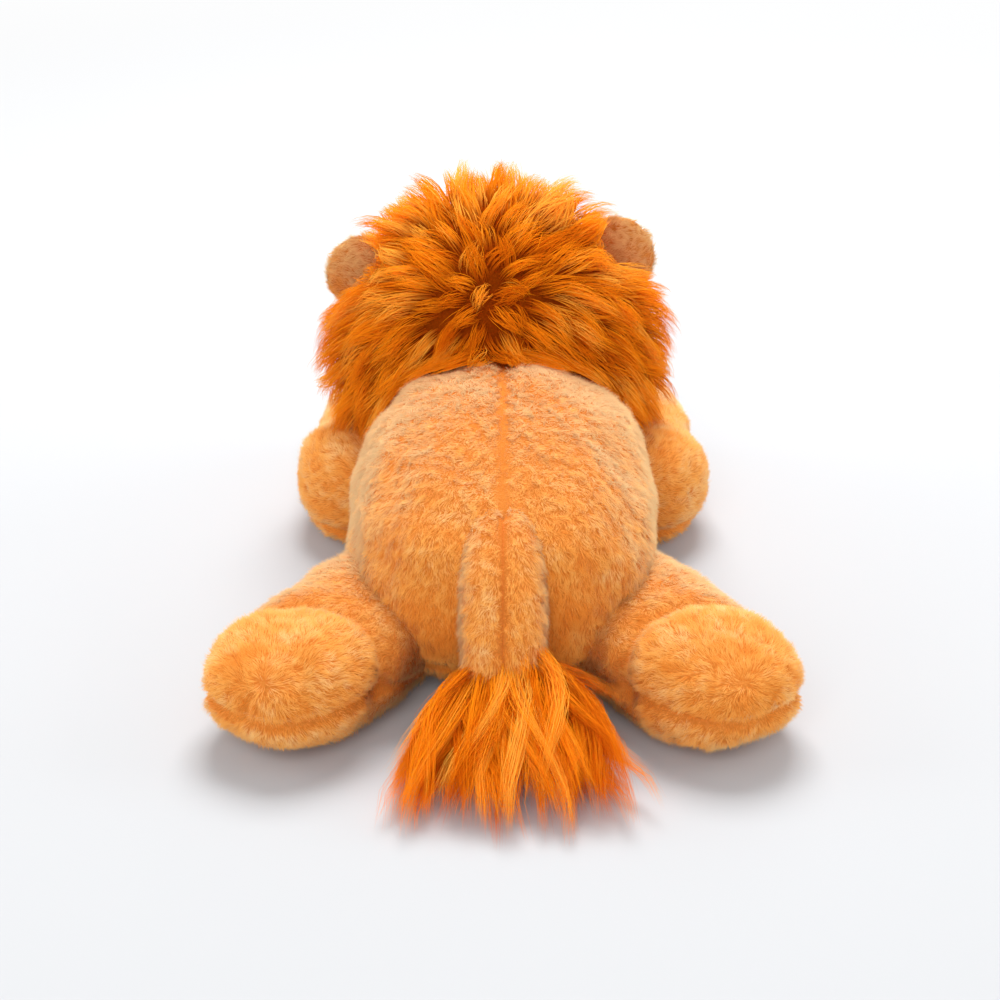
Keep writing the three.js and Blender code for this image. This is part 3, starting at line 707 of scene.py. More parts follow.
torsoSkin = closedSkin("torso_skin", torsoGrid)
torsoPile = growPile("torso_pile", torsoGrid, shortPile, backFlow, 100, torsoHair, torsoSeams, paintedShadeUnderTail)
dressGold(torsoSkin, torsoPile, "torso")
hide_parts("torso_back_panel_left", "torso_back_panel_right", "torso_belly_panel",
            "torso_stuffing", "torso_pellet_pouch")
print("torso made", sum(len(p.data.polygons) for p in torsoPile))


# legs

def soleSeam(leg, side):
    # the seam round a limb rises to the toes, and short darts cross it there
    def seam(points):
        x, y, z = points.T
        over = z - (leg["seamHeight"] + leg["toeRise"] * softStep(leg["ankle"], leg["toe"], y))
        seamed = np.exp(-(over / sewing["seamWidth"]) ** 2)
        for place, lower, upper in leg["darts"]:
            near = np.hypot(x - side * place - sewing["dartLean"] * over,
                            sewing["dartSpread"] * (y - sewing["dartAt"]))
            within = softStep(lower - 0.001, lower + 0.001, z) * softStep(upper + 0.002, upper - 0.002, z)
            dart = sewing["dartShare"] * within * np.exp(-(near / sewing["dartWidth"]) ** 2)
            seamed = np.maximum(seamed, dart)
        return seamed
    return seam


def pawForms(leg, side):
    # hair fans out from a swirl, and further off runs along the limb
    centre = np.array(leg["swirl"]) * (side, 1, 1)

    def flow(points, normals, along):
        fan = points - centre
        near = 1 - softStep(*leg["fan"], np.linalg.norm(fan, axis=1, keepdims=True))
        return flattened(unit(fan) * near + along * (1 - near), normals)

    def crease(points):
        off = np.linalg.norm(points - centre, axis=1) - leg["creaseAway"]
        return np.exp(-(off / sewing["creaseWidth"]) ** 2) * softStep(*sewing["creaseFoot"], points[:, 2])

    def shades(points):
        # painted shade: darker in the middle of the swirl, where the paw's end is seen head on, and in the
        # crease over the ankle
        away = softStep(*sewing["swirlReach"], np.linalg.norm(points - centre, axis=1))
        return sewing["swirlPaintedShade"] * (1 - away) + leg["creasePaintedShade"] * crease(points)

    return flow, crease, shades


for k, ((kind, word), grid) in enumerate(legGrids.items()):
    side = bothSides[word]
    leg = legs[kind]
    seamOf = soleSeam(leg, side)
    flow, crease, shades = pawForms(leg, side)
    grid = lumps(grid, sewing["lumpHeight"], sewing["lumpSize"], 60 if word == "left" else 61)
    grid = grooved(grooved(grid, seamOf, sewing["seamDepth"]), crease, leg["creaseDepth"])
    skin = closedSkin(f"{kind}_{word}_skin", grid)
    cutAway(skin, torsoRoom)
    pile = growPile(
        f"{kind}_{word}_pile", grid, shortPile, flow, 200 + 10 * k, clearOf(torsoTree), seamOf, shades)
    path = np.array(legForm(leg, side)["path"])
    joins = ("torso", f"{kind}_{word}", tuple(path[1] * 0.5 + path[0] * 0.5), tuple(path[2]))
    dressGold(skin, pile, joins=joins)
    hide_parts(*[f"{kind}_{word}_{panel}" for panel in leg["panels"]])
    print(kind, word, "made")


# tail and tuft

def tailSeam(points):
    return np.exp(-(points[:, 0] / tail["seamWidth"]) ** 2) * (points[:, 2] > tail["seamAbove"])


def alongForm(points, normals, along):
    return along


tailSeamed = grooved(tailGrid, tailSeam, tail["seamDepth"])
tailSkin = closedSkin("tail_skin", tailSeamed)
cutAway(tailSkin, torsoRoom)
tailPile = growPile("tail_pile", tailSeamed, shortPile, alongForm, 300, clearOf(torsoTree), tailSeam)
dressGold(tailSkin, tailPile, joins=("torso", "tail", tail["bendFrom"], tail["bendTo"]))
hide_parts("tail_cover", "tail_stuffing")


def locksAlong(centres, perLock, spread, knots, own, endSpread=0.12, shortest=0.6, flyaway=0.0012):
    # a lock is many hairs about one line, wide in its middle and drawn to a point
    lockCount, steps = centres.shape[:2]
    share = np.linspace(0, 1, knots)
    ends = own.uniform(shortest, 1.0, (lockCount, perLock)) ** 0.7
    read = (share[None, None] * ends[..., None]) * (steps - 1)
    k = np.minimum(read.astype(int), steps - 2)
    t = (read - k)[..., None]
    lock = np.arange(lockCount)[:, None, None]
    lines = centres[lock, k] * (1 - t) + centres[lock, k + 1] * t
    ways = unit(np.gradient(centres, axis=1))[lock, k]
    side = unit(np.cross(ways, own.normal(size=(lockCount, perLock, 1, 3))))
    body = np.sin(np.pi * np.clip(share * 0.72 + 0.28, 0, 1)) ** 0.7
    body = body * (1 - endSpread) + endSpread
    off = spread[:, None] * np.sqrt(own.random((lockCount, perLock)))
    lines = lines + side * (off[..., None] * body)[..., None]
    drift = own.normal(0, flyaway, (lockCount, perLock, 1, 3)) * (share**2)[None, None, :, None]
    return (lines + drift).reshape(-1, knots, 3)


tuft = {
    "start": -0.1005, "reach": 0.092, "halfWidth": 0.049, "height": 0.043, "shift": 0.0075,
    "widthShares": [0.14, 0.42, 0.66, 0.83, 0.94, 1.0, 0.98],
    "heightShares": [0.95, 1.0, 0.9, 0.72, 0.5, 0.28, 0.1],
    "locks": 230, "perLock": 74, "radius": 0.00022, "early": 0.16, "sway": 0.22, "swing": 0.13,
    "widest": 1.12, "shade": 0.38, "lowest": 0.0004, "fanFrom": (0, -0.12, -0.01), "depths": (0.15, 1.0),
    "lengths": (0.62, 1.0), "earlyLengths": (0.30, 0.50), "earlyAside": 1.3, "flare": 0.005,
    "earlyFlare": 0.03, "spreads": (0.0026, 0.0048), "endSpread": 0.08, "shortest": 0.5,
    "lockShades": 0.24, "depthPaintedShade": 0.3, "hairShades": 0.12, "radii": (0.7, 1.3), "golden": 0.61803,
}


def tuftLines():
    # locks side by side round the end of the tail. Some end early and stand away from the rest.
    own = np.random.default_rng(330)
    count = tuft["locks"]
    turn = np.pi * (np.arange(count) * tuft["golden"] % 1)
    turn = turn + 0.12 * np.sin(2 * turn)
    out, up = np.cos(turn)[:, None], np.sin(turn)[:, None]
    depth = own.uniform(*tuft["depths"], count)[:, None] ** 0.6
    reach = own.uniform(*tuft["lengths"], count) * (1.04 - 0.12 * np.cos(turn) ** 2)
    early = own.random(count) < tuft["early"]
    reach = np.where(early, own.uniform(*tuft["earlyLengths"], count), reach)
    early = early[:, None]
    share = np.linspace(0, 1, 10)[None] * reach[:, None]
    sway = own.normal(0, tuft["sway"], (count, 1)) * share
    sway = sway + own.normal(0, tuft["swing"], (count, 1)) * np.sin(share * 5.5)
    sway = sway - early * out * share * tuft["earlyAside"]
    across = np.clip(sway - out, -tuft["widest"], tuft["widest"])
    halfWidth = smoothly(tuft["widthShares"], share) * tuft["halfWidth"]
    height = smoothly(tuft["heightShares"], share) * tuft["height"]
    flare = (own.normal(0, tuft["flare"], (count, 1)) + tuft["earlyFlare"] * early) * share**2
    x = across * halfWidth * (0.5 + 0.5 * depth) + tuft["shift"] * (0.3 + 0.7 * share)
    z = height * (0.25 + 0.75 * up) * depth + np.abs(flare)
    z = np.maximum(z, 0.0012 + 0.001 * own.random(count)[:, None])
    centres = np.stack([x, tuft["start"] - tuft["reach"] * share, z], axis=-1)
    spread = own.uniform(*tuft["spreads"], count)
    lines = locksAlong(centres, tuft["perLock"], spread, 6, own, tuft["endSpread"], tuft["shortest"])
    lines[..., 2] = np.maximum(lines[..., 2], tuft["lowest"])
    shade = tuft["shade"] + tuft["lockShades"] * own.normal(size=count)
    # painted shade: locks lying deeper inside the tuft are darker
    shade = shade + tuft["depthPaintedShade"] * (depth[:, 0] - 0.7)
    shades = np.repeat(shade, tuft["perLock"]) + own.normal(0, tuft["hairShades"], len(lines))
    return lines, np.clip(shades, *shadeRange)


lines, shades = tuftLines()
tuftPieces = []
for k, part in enumerate(np.array_split(np.argsort(lines[:, -1, 0]), 3)):
    outwards = unit(lines[part, 2] - tuft["fanFrom"])
    radii = tuft["radius"] * rng.uniform(*tuft["radii"], len(part))
    tuftPieces.append(hairMesh(f"tuft_hair_{k + 1}", lines[part], radii, shades[part], outwards))
dress(tuftPieces, rustHair, "tail")
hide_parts("tail_tuft")
print("tail made")


# head, mane and ears

mane = {
    "angles": [0, 24, 48, 70, 88, 108], "reaches": [0.060, 0.0604, 0.0646, 0.0731, 0.085, 0.060],
    "drapeShares": [0, 0.5, 1, 0.6, 0, 0], "drape": 0.010, "drapeStart": 0.45,
    "baseShares": [0.865, 0.865, 0.865, 0.865, 0.81, 0.80], "skull": 0.050, "faceSkull": 0.046, "rim": 104,
    "overTorso": 0.0015, "overFloor": 0.002, "locks": 1000, "perLock": 48, "radius": 0.00023,
    "radii": (0.7, 1.3), "spreads": (0.0030, 0.0060), "lockShades": 0.19, "hairShades": 0.13,
    "swirlAngle": 46, "swirlReach": (0.006, 0.030), "swirlLift": 0.55, "swirlShort": 0.35,
    "swirlBend": 1.4, "swirlPaintedShade": 0.30, "bend": 0.42, "liftSpread": 0.12, "lengthSpread": (0.75, 1.15),
    "earShort": 0.55, "earReach": (0.013, 0.022), "partStep": 0.003, "alongBack": (0.002, 0.010),
    "tries": 9000, "lastAngle": 112, "spacing": 0.0050, "steps": 9, "fall": 0.45, "lowest": 0.0004,
    "liftAngles": [0, 40, 65, 80, 95, 112], "lifts": [0.42, 0.45, 0.62, 0.85, 1.0, 0.9],
    "lengthAngles": [0, 25, 50, 80, 100, 112], "lengths": [0.027, 0.029, 0.030, 0.031, 0.028, 0.020],
    "lockClearance": 0.0035, "hairClearance": 0.0025, "earClearance": 0.0012,
}


def maneReach(angle, turn):
    # angle is from straight back, turn goes round the head
    degrees = np.degrees(angle)
    reach = np.interp(degrees, mane["angles"], mane["reaches"])
    share = np.interp(degrees, mane["angles"], mane["baseShares"])
    drape = np.interp(degrees, mane["angles"], mane["drapeShares"]) * mane["drape"]
    hanging = softStep(-mane["drapeStart"], mane["drapeStart"], -np.sin(turn))
    return np.maximum((reach + drape * hanging) * share, mane["skull"])


def aroundHead(angle, turn, reach):
    ways = np.stack([np.sin(angle) * np.cos(turn), -np.cos(angle), np.sin(angle) * np.sin(turn)], axis=-1)
    return leaned(ways * reach[..., None] + headMiddle)


ear = {
    "rise": math.radians(27), "forward": 0.022, "root": 0.038, "tip": 0.083,
    "thickness": 0.0045, "breadth": 0.020,
    "hinge": 0.0445, "hingeForward": 0.026, "flops": np.radians([0, 15, 30]),
    "spot": 0.070, "parting": 0.016, "partingSlope": 0.49, "partingDepth": 0.007,
    "partingReach": (0.012, 0.026), "seamTurn": 0.1, "inset": 0.0016, "hollow": 0.0036, "hollowSize": 0.013,
    "hollowShare": 0.65,
}


def earWay(side):
    return np.array([side * math.cos(ear["rise"]), 0, math.sin(ear["rise"])])


def earPlace(side, forward, away):
    return headMiddle + np.array([0, forward, 0]) + earWay(side) * away


def earForm(side):
    ends = [tuple(earPlace(side, ear["forward"], ear[end])) for end in ("root", "tip")]
    return {
        "path": ends, "halfWidths": [ear["thickness"]] * 2, "topHalves": [ear["breadth"]] * 2,
        "fullness": 2.4, "inHead": True,
    }


def flopped(points, side, angle):
    # the ear's points turned about its joint
    pivot = leaned(earPlace(side, ear["hingeForward"], ear["hinge"]))
    across = np.array([-math.sin(ear["rise"]), 0, side * math.cos(ear["rise"])])
    turned = np.array(Matrix.Rotation(angle, 3, Vector(leaned(across) - leaned(np.zeros(3)))))
    return (points - pivot) @ turned.T + pivot


def besideEars(points):
    # how far points are from the middles of the partings, which rise backwards from the ears
    nearest, ways = np.full(len(points), 1.0), np.zeros((len(points), 3))
    for side in bothSides.values():
        off = points - leaned(earPlace(side, ear["forward"], ear["spot"]))
        off[:, 2] += ear["partingSlope"] * np.minimum(off[:, 1], 0)
        off[:, 1] = 0
        gap = np.linalg.norm(off, axis=1)
        closer = gap < nearest
        nearest[closer], ways[closer] = gap[closer], unit(off)[closer]
    return nearest, ways


def parted(points):
    # the mane's backing is lower where the ears stand out
    near = 1 - softStep(*ear["partingReach"], besideEars(points)[0])
    return points + unit(leaned(headMiddle) - points) * (ear["partingDepth"] * near)[:, None]


maneAngles = np.radians(np.concatenate([np.linspace(0, mane["rim"], 60), np.linspace(106, 180, 12)]))
angle, turn = np.meshgrid(maneAngles, np.linspace(0, 2 * np.pi, 110, endpoint=False), indexing="ij")
reach = np.where(np.degrees(angle) > mane["rim"], mane["faceSkull"], maneReach(angle, turn))
maneGrid = aroundHead(angle, turn, reach)[::-1]
flat = keptOutside(parted(maneGrid.reshape(-1, 3)), torsoTree, mane["overTorso"])
flat[:, 2] = np.maximum(flat[:, 2], mane["overFloor"])
maneGrid = flat.reshape(maneGrid.shape)


def maneRoots(own):
    # places spread evenly over the backing, as angle, turn and point
    lastCosine = math.cos(math.radians(mane["lastAngle"]))
    angle = np.arccos(own.uniform(lastCosine, 1, mane["tries"]))
    turn = own.uniform(0, 2 * np.pi, mane["tries"])
    roots = parted(aroundHead(angle, turn, maneReach(angle, turn)))
    kept = []
    for k in range(mane["tries"]):
        if len(kept) == mane["locks"]:
            break
        if not kept or np.min(np.linalg.norm(roots[kept] - roots[k], axis=1)) > mane["spacing"]:
            kept.append(k)
    angle, roots = angle[kept], roots[kept]
    clear = (heightOver(roots, torsoTree)[0] > -0.004) & (roots[:, 2] > 0.004)
    return np.degrees(angle[clear]), roots[clear]


def maneCentres():
    # the middle line of each lock, its shade with painted light and shade in it, and its way out of the head
    own = np.random.default_rng(410)
    top = np.radians([mane["swirlAngle"]]), np.array([np.pi / 2])
    swirl = aroundHead(*top, maneReach(*top))[0]
    degrees, roots = maneRoots(own)
    count = len(roots)
    out = unit(roots - leaned(headMiddle))
    away = flattened(roots - swirl, out)
    twist = np.cross(out, away)
    nearSwirl = 1 - softStep(*mane["swirlReach"], np.linalg.norm(roots - swirl, axis=1))
    lift = np.interp(degrees, mane["liftAngles"], mane["lifts"])
    lift = lift + mane["swirlLift"] * nearSwirl + own.normal(0, mane["liftSpread"], count)
    length = np.interp(degrees, mane["lengthAngles"], mane["lengths"])
    length = length * own.uniform(*mane["lengthSpread"], count) * (1 - mane["swirlShort"] * nearSwirl)
    earGap = besideEars(roots)[0]
    behindEar = roots[:, 1] < headMiddle[1] + ear["forward"]
    length = length * (1 - mane["earShort"] * (1 - softStep(*mane["earReach"], earGap)) * behindEar)
    parting = ear["parting"] * (earGap > ear["parting"]) * behindEar
    bend = own.normal(0, mane["bend"], count) + mane["swirlBend"] * nearSwirl * own.normal(0, 1, count)
    centres = [roots - out * 0.002]
    for share in np.arange(1, mane["steps"]) / (mane["steps"] - 1):
        rise = lift * (1.25 - 0.95 * share)
        ways = away * np.cos(rise)[:, None] + out * np.sin(rise)[:, None] + twist * (bend * share)[:, None]
        ways[:, 2] -= mane["fall"] * share
        # close to the back the locks turn along it
        height, upwards = heightOver(centres[-1], torsoTree)
        close = (1 - softStep(*mane["alongBack"], height))[:, None]
        into = np.clip(np.sum(ways * upwards, axis=1, keepdims=True), None, 0)
        onwards = unit(ways - upwards * into * close) * (length / (mane["steps"] - 1))[:, None]
        points = keptOutside(centres[-1] + onwards, torsoTree, mane["lockClearance"])
        gap, aside = besideEars(points)
        centres.append(points + aside * np.clip(parting - gap, 0, mane["partStep"])[:, None])
    # painted light: locks high on the head and round the rim are paler, as where light falls on them; painted
    # shade round the swirl
    tone = 0.44 + 0.12 * softStep(0.10, 0.16, roots[:, 2]) + 0.10 * softStep(60, 95, degrees)
    return np.stack(centres, axis=1), tone - mane["swirlPaintedShade"] * nearSwirl, out


def hairsOutside(lines, tree, clearance):
    # all but the roots of the hairs
    free = lines[:, 1:]
    lines[:, 1:] = keptOutside(free.reshape(-1, 3), tree, clearance).reshape(free.shape)


centres, tone, facing = maneCentres()
own = np.random.default_rng(420)
spread = own.uniform(*mane["spreads"], len(centres))
lines = locksAlong(centres, mane["perLock"], spread, 6, own)
hairsOutside(lines, torsoTree, mane["hairClearance"])
for side in bothSides.values():
    for flop in ear["flops"]:
        earTree = treeOf(flopped(stuffedGrid(earForm(side), 0, 24, 32), side, flop))
        hairsOutside(lines, earTree, mane["earClearance"])
lines[..., 2] = np.maximum(lines[..., 2], mane["lowest"])
lockShades = np.repeat(tone + own.normal(0, mane["lockShades"], len(centres)), mane["perLock"])
shades = np.clip(lockShades + own.normal(0, mane["hairShades"], len(lines)), *shadeRange)
facing = np.repeat(facing, mane["perLock"], axis=0)
radii = mane["radius"] * own.uniform(*mane["radii"], len(lines))
fromLeft = np.argsort(lines[:, 0, 0])
manePieces = hairPieces("mane_hair", np.array_split(fromLeft, 6), lines, radii, shades, facing)
maneSkin = closedSkin("mane_backing", maneGrid)
dress([maneSkin], rustShadeBacking, "head")
dress(manePieces, rustHair, "head")
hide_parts("mane")
print("mane made", len(lines))

headSkin = closedSkin("head_skin", headGrid)
cutAway(headSkin, torsoRoom)
facePile = dict(shortPile, length=0.0052, lean=1.0, curl=0.35, stray=0.2)


face = {
    "pileFrom": 0.100, "inset": 0.0022, "flowFrom": (0, 0.150, 0.084),
    "cleftWidth": 0.0045, "cleftDepth": 0.0026,
}
muzzle = {"middle": (0, 0.142, 0.073), "halfLength": 0.028, "halfWidth": 0.031, "halfHeight": 0.021}
chin = {"middle": (0, 0.134, 0.052), "halfLength": 0.017, "halfWidth": 0.017, "halfHeight": 0.010}
nose = {"middle": (0, 0.161, 0.086), "halfLength": 0.009, "halfWidth": 0.012, "halfHeight": 0.0075}
muzzleGrid = stuffedGrid(cushion(**muzzle), face["inset"])
chinGrid = stuffedGrid(cushion(**chin), face["inset"], 50, 60)


def faceFlow(points, normals, along):
    # away from the nose, back over the cheeks and the brow
    return flattened(points - leaned(np.array(face["flowFrom"])), normals)


def onFace(points, normals):
    return (points[:, 1] > face["pileFrom"]) & clearOf(treeOf(muzzleGrid), treeOf(chinGrid))(points, normals)


headPile = growPile("face_pile", headGrid, facePile, faceFlow, 500, onFace)
dressGold(headSkin, headPile, "head")
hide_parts("face_panel", "head_stuffing")

creamPile = dict(shortPile, length=0.0042, lean=0.95, curl=0.35, stray=0.22, perSquareMm=2.2)


def cleft(points):
    # the muzzle parts in two puffs under the nose; its pile takes painted shade along the cleft
    x, _, z = (points - leaned(np.array(muzzle["middle"]))).T
    return np.exp(-(x / face["cleftWidth"]) ** 2) * softStep(0.008, -0.002, z)


muzzleGrid = grooved(muzzleGrid, cleft, face["cleftDepth"])
muzzleSkin = closedSkin("muzzle_skin", muzzleGrid)
muzzlePile = growPile("muzzle_pile", muzzleGrid, creamPile, faceFlow, 520, clearOf(headTree), cleft)
chinSkin = closedSkin("chin_skin", chinGrid)
chinPile = growPile("chin_pile", chinGrid, creamPile, faceFlow, 530, clearOf(headTree, treeOf(muzzleGrid)))
dress([muzzleSkin, chinSkin], creamCloth, "head")
dress(muzzlePile + chinPile, creamHair, "head")
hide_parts("muzzle")
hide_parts("chin")

# nose: wide above, drawn in below, with a fine leather grain
noseGrid = stuffedGrid(cushion(**nose), 0, 48, 64)
noseMiddle = leaned(np.array(nose["middle"]))
lift = (noseGrid[..., 2] - noseMiddle[2]) / nose["halfHeight"]
noseGrid[..., 0] = noseMiddle[0] + (noseGrid[..., 0] - noseMiddle[0]) * (0.76 + 0.30 * lift)
noseSkin = closedSkin("nose_leather", noseGrid)
noseFinish, tree, shader = speckled(
    "nose leather", 120, (0.035, 0.014, 0.008), (0.11, 0.045, 0.024), roughness=0.5, coat=0.06)
emboss(tree, shader, texture(tree, "TexVoronoi", {"Scale": 1400})["Distance"], 0.0003)
dress([noseSkin], noseFinish, "head")
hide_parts("nose")

# mouth: two strands of twisted thread, laid just proud of the muzzle's cloth
stitch = {"radius": 0.0009, "drop": 0.016, "spread": 0.012, "sag": 0.003, "start": -0.013}


def muzzleFront(x, drop):
    _, y, z = muzzle["middle"]
    left = 1 - (x / muzzle["halfWidth"]) ** 2 - (drop / muzzle["halfHeight"]) ** 2
    return np.array([x, y + muzzle["halfLength"] * math.sqrt(left), z - drop])


def threadTube(name, places, strands=2, turnsPerMetre=420):
    radius = stitch["radius"]
    line = curveThrough([leaned(p) for p in places], 60)
    ways = unit(np.gradient(line, axis=0))
    side = unit(np.cross(ways, [0.3, 0.2, 1]))
    over = np.cross(ways, side)
    run = runAlong(line)
    pieces = []
    for k in range(strands):
        angle = 2 * np.pi * (run * turnsPerMetre / 2 + k / strands)[:, None]
        middle = line + (side * np.cos(angle) + over * np.sin(angle)) * radius * 0.5
        turn = np.linspace(0, 2 * np.pi, 10, endpoint=False)[None, :, None]
        ring = middle[:, None] + (side[:, None] * np.cos(turn) + over[:, None] * np.sin(turn)) * radius * 0.55
        ring[0], ring[-1] = middle[0], middle[-1]
        pieces.append(closedSkin(f"{name}_{k + 1}", ring))
    return pieces


lowPoint = stitch["start"] + stitch["drop"]
downwards = [muzzleFront(0, stitch["start"] + t * stitch["drop"]) for t in (0, 0.5, 1)]
threads = threadTube("mouth_thread_down", downwards)
for word, side in bothSides.items():
    aside = side * stitch["spread"]
    sag = muzzleFront(aside / 2, lowPoint + stitch["sag"])
    places = [muzzleFront(0, lowPoint), sag, muzzleFront(aside, lowPoint)]
    threads += threadTube(f"mouth_thread_{word}", places)
threadFinish, _, _ = speckled(
    "brown thread", 900, (0.05, 0.02, 0.012), (0.15, 0.07, 0.04), roughness=0.6, sheen=0.3)
dress(threads, threadFinish, "head")
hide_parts("mouth_stitching")

# eyes: domed plastic with an amber ring round a dark pupil, glossy all over
eye = {
    "radius": 0.0065, "bulge": 0.004, "seat": 0.0008, "depth": 0.004, "spread": 0.019, "rise": 0.015,
    "ramp": [(0.50, (0.004, 0.003, 0.003, 1)), (0.56, (0.22, 0.075, 0.014, 1)),
             (0.86, (0.10, 0.030, 0.006, 1)), (0.93, (0.004, 0.003, 0.003, 1))],
}
eyeFinish, tree, shader = finish("eye plastic", 0.07, gloss=0.45)
level = texture(tree, "Mapping", {"Scale": (1 / eye["radius"], 1 / eye["radius"], 0)})["Vector"]
away = addNode(tree, "VectorMath", {0: level}, "LENGTH")
iris = addNode(tree, "ValToRGB", {"Fac": away.outputs["Value"]})
rings = iris.color_ramp.elements
for k, (position, colour) in enumerate(eye["ramp"]):
    ring = rings[k] if k < 2 else rings.new(position)
    ring.position = position
    ring.color = colour
feed(shader, {"Base Color": iris.outputs["Color"]})
outerHead = treeOf(stuffedGrid(cushion(**head), 0))
for word, side in bothSides.items():
    start = leaned(np.array([side * eye["spread"], 0.20, headMiddle[2] + eye["rise"]]))
    place, facing, _, _ = outerHead[0].ray_cast(Vector(start), Vector((0, -1, 0)))
    profile = [(0, -eye["depth"]), (eye["radius"] * 0.96, -eye["depth"])]
    for t in np.linspace(0, np.pi / 2, 16)[:-1]:
        profile.append((eye["radius"] * math.cos(t), eye["seat"] + eye["bulge"] * math.sin(t)))
    profile.append((0, eye["seat"] + eye["bulge"]))
    around = np.linspace(0, 2 * np.pi, 48, endpoint=False)
    dome = [np.stack([r * np.cos(around), r * np.sin(around), np.full(48, h)], axis=-1) for r, h in profile]
    ball = closedSkin(f"eye_{word}_dome", np.stack(dome))
    ball.data.set_sharp_from_angle(angle=sharpAngle)
    ball.rotation_mode = "QUATERNION"
    ball.rotation_quaternion = facing.to_track_quat("Z", "Y")
    ball.location = place
    dress([ball], eyeFinish, "head")
    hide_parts(f"eye_{word}")
washerFinish, _, _ = speckled(
    "washer plastic", 400, (0.72, 0.71, 0.68), (0.86, 0.86, 0.83), roughness=0.45)
for word in ("left", "right"):
    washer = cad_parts[f"eye_washer_{word}"]
    washer.data.materials.clear()
    washer.data.materials.append(washerFinish)
print("face made")

# ears: a cupped disc, gold behind and cream within
# painted light: the ears' pile takes a pale tone, as if lit through the thin ear; the lining keeps it
earPilePaintedLit = dict(shortPile, length=0.0042, lean=1.1, perSquareMm=5.0, stray=0.2, tone=0.92)
liningPile = dict(earPilePaintedLit, length=0.0034)
for word, side in bothSides.items():
    grid = stuffedGrid(earForm(side), ear["inset"], 60, 72)
    root, tip = [leaned(np.array(p)) for p in earForm(side)["path"]]
    middle = root * (1 - ear["hollowShare"]) + tip * ear["hollowShare"]
    off = np.linalg.norm((grid - middle)[..., [0, 2]], axis=-1)
    grid[..., 1] -= ear["hollow"] * ((grid[..., 1] > middle[1]) * np.exp(-(off / ear["hollowSize"]) ** 2))
    skin = closedSkin(f"ear_{word}_skin", grid)
    cutAway(skin, headGrid)
    dress([skin], goldCloth, f"ear_{word}")
    skin.data.materials.append(creamCloth)
    for polygon in skin.data.polygons:
        polygon.material_index = int(polygon.normal.y > ear["seamTurn"])
    clear = clearOf(headTree)

    def behindSeam(points, normals):
        return (normals[:, 1] < ear["seamTurn"]) & clear(points, normals)

    def aheadOfSeam(points, normals):
        return (normals[:, 1] >= ear["seamTurn"]) & clear(points, normals)

    back = growPile(f"ear_{word}_pile", grid, earPilePaintedLit, alongForm, 600, behindSeam)
    lining = growPile(f"ear_{word}_lining_pile", grid, liningPile, alongForm, 620, aheadOfSeam)
    dress(back, goldHair, f"ear_{word}")
    dress(lining, creamHair, f"ear_{word}")
    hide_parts(f"ear_{word}_back", f"ear_{word}_lining")
print("ears made")


# floor, light and camera

studio = {
    "floor": (0.59, 0.60, 0.615, 1), "floorSize": 14, "floorGlow": 0.02, "sky": 0.40, "fadeStart": 0.4,
    "fadeEnd": 1.3, "white": (1, 1, 1, 1), "aim": Vector((0, 0, 0.05)),
}
softboxes = {
    "key": {"place": (0.05, 0.70, 1.35), "size": 0.8, "power": 23},
    "front": {"place": (0.5, 1.7, 0.5), "size": 1.0, "power": 5},
    "fill": {"place": (-0.2, -1.3, 0.95), "size": 0.9, "power": 9.5},
    "left": {"place": (-1.3, 0.1, 0.5), "size": 0.9, "power": 5.5},
    "right": {"place": (1.3, 0.1, 0.5), "size": 0.9, "power": 5.5},
}
bpy.ops.mesh.primitive_plane_add(size=studio["floorSize"], location=(0, 0, 0))
floor = bpy.context.object
floor.name = "floor"
floorFinish, tree, shader = finish("pale floor", 0.9)
feed(shader, {"Base Color": studio["floor"]})
rays = addNode(tree, "LightPath").outputs["Is Camera Ray"]
seen = addNode(tree, "Math", {0: rays, 1: studio["floorGlow"]}, "MULTIPLY")
glow = addNode(tree, "Emission", {"Color": studio["white"], "Strength": seen.outputs[0]})
both = addNode(tree, "AddShader", {0: shader.outputs[0], 1: glow.outputs[0]})
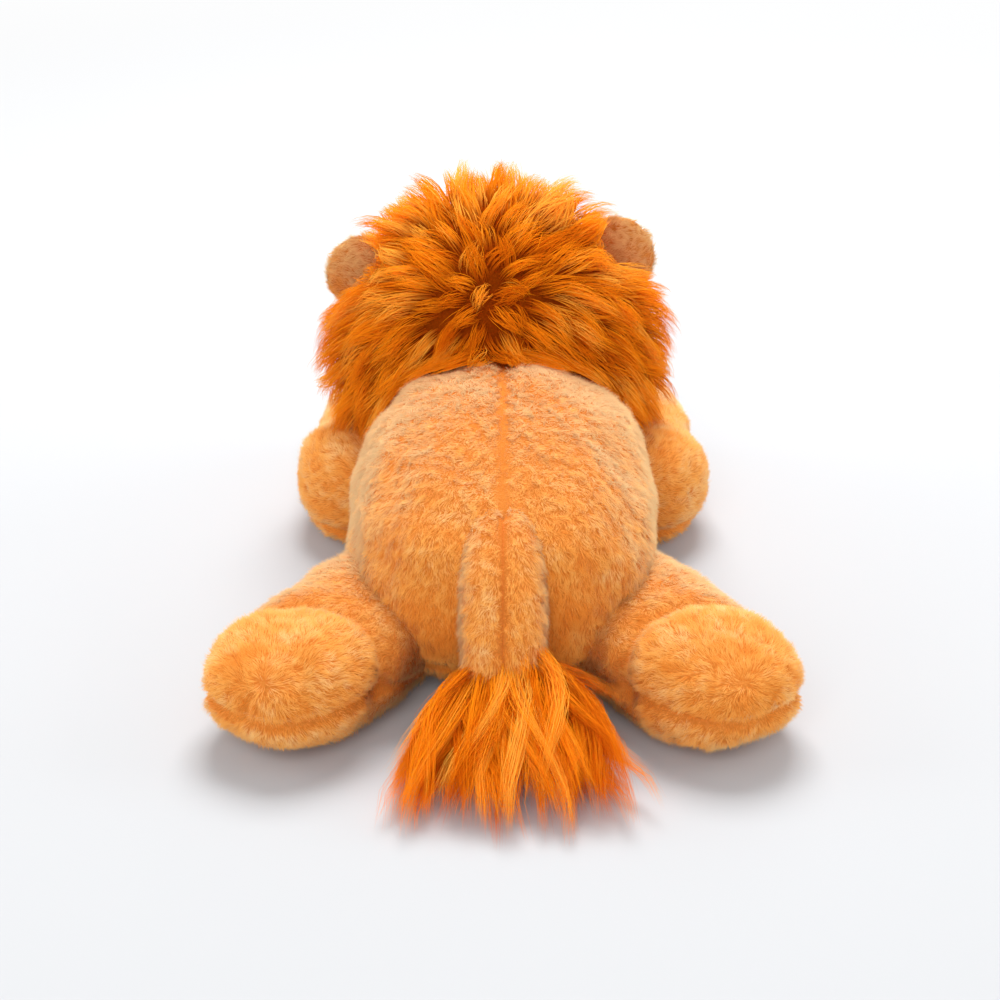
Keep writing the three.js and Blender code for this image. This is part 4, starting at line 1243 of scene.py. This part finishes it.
# far from the toy the floor runs out into plain white
place = addNode(tree, "TexCoord").outputs["Object"]
distance = addNode(tree, "VectorMath", {0: place}, "LENGTH")
fade = addNode(tree, "MapRange", {
    "Value": distance.outputs["Value"], "From Min": studio["fadeStart"], "From Max": studio["fadeEnd"],
})
fade.interpolation_type = "SMOOTHSTEP"
faded = addNode(tree, "Math", {0: fade.outputs[0], 1: rays}, "MULTIPLY")
white = addNode(tree, "Emission", {"Color": studio["white"]})
ground = mixShaders(tree, faded.outputs[0], both, white)
feed(tree.nodes["Material Output"], {"Surface": ground.outputs[0]})
floor.data.materials.append(floorFinish)

world = bpy.data.worlds.new("studio")
bpy.context.scene.world = world
world.use_nodes = True
tree = world.node_tree
rays = addNode(tree, "LightPath").outputs["Is Camera Ray"]
level = addNode(tree, "Mix", {0: rays, 2: studio["sky"], 3: 1.0})
feed(tree.nodes["Background"], {"Color": studio["white"], "Strength": level.outputs[0]})


def softbox(name, place, size, power):
    lamp = bpy.data.lights.new(name, "AREA")
    lamp.shape, lamp.size, lamp.energy = "SQUARE", size, power
    box = bpy.data.objects.new(name, lamp)
    box.location = place
    box.rotation_mode = "QUATERNION"
    box.rotation_quaternion = (studio["aim"] - Vector(place)).to_track_quat("-Z", "Y")
    bpy.context.scene.collection.objects.link(box)


for name, box in softboxes.items():
    softbox(f"{name} softbox", **box)

view = {
    "elevation": math.radians(26), "distance": 1.010, "target": Vector((0, 0, 0.050)), "lens": 85,
    "shift": -0.003, "sensor": 36,
}
camera = bpy.data.objects.new("camera", bpy.data.cameras.new("camera"))
bpy.context.scene.collection.objects.link(camera)
backwards = Vector((0, -math.cos(view["elevation"]), math.sin(view["elevation"])))
camera.location = view["target"] + view["distance"] * backwards
camera.rotation_euler = (math.pi / 2 - view["elevation"], 0, 0)
camera.data.lens, camera.data.sensor_width = view["lens"], view["sensor"]
camera.data.shift_x = view["shift"]
camera.data.clip_start, camera.data.clip_end = 0.01, 30
bpy.context.scene.camera = camera
bpy.context.scene.view_settings.view_transform = "Standard"

print("scene done")
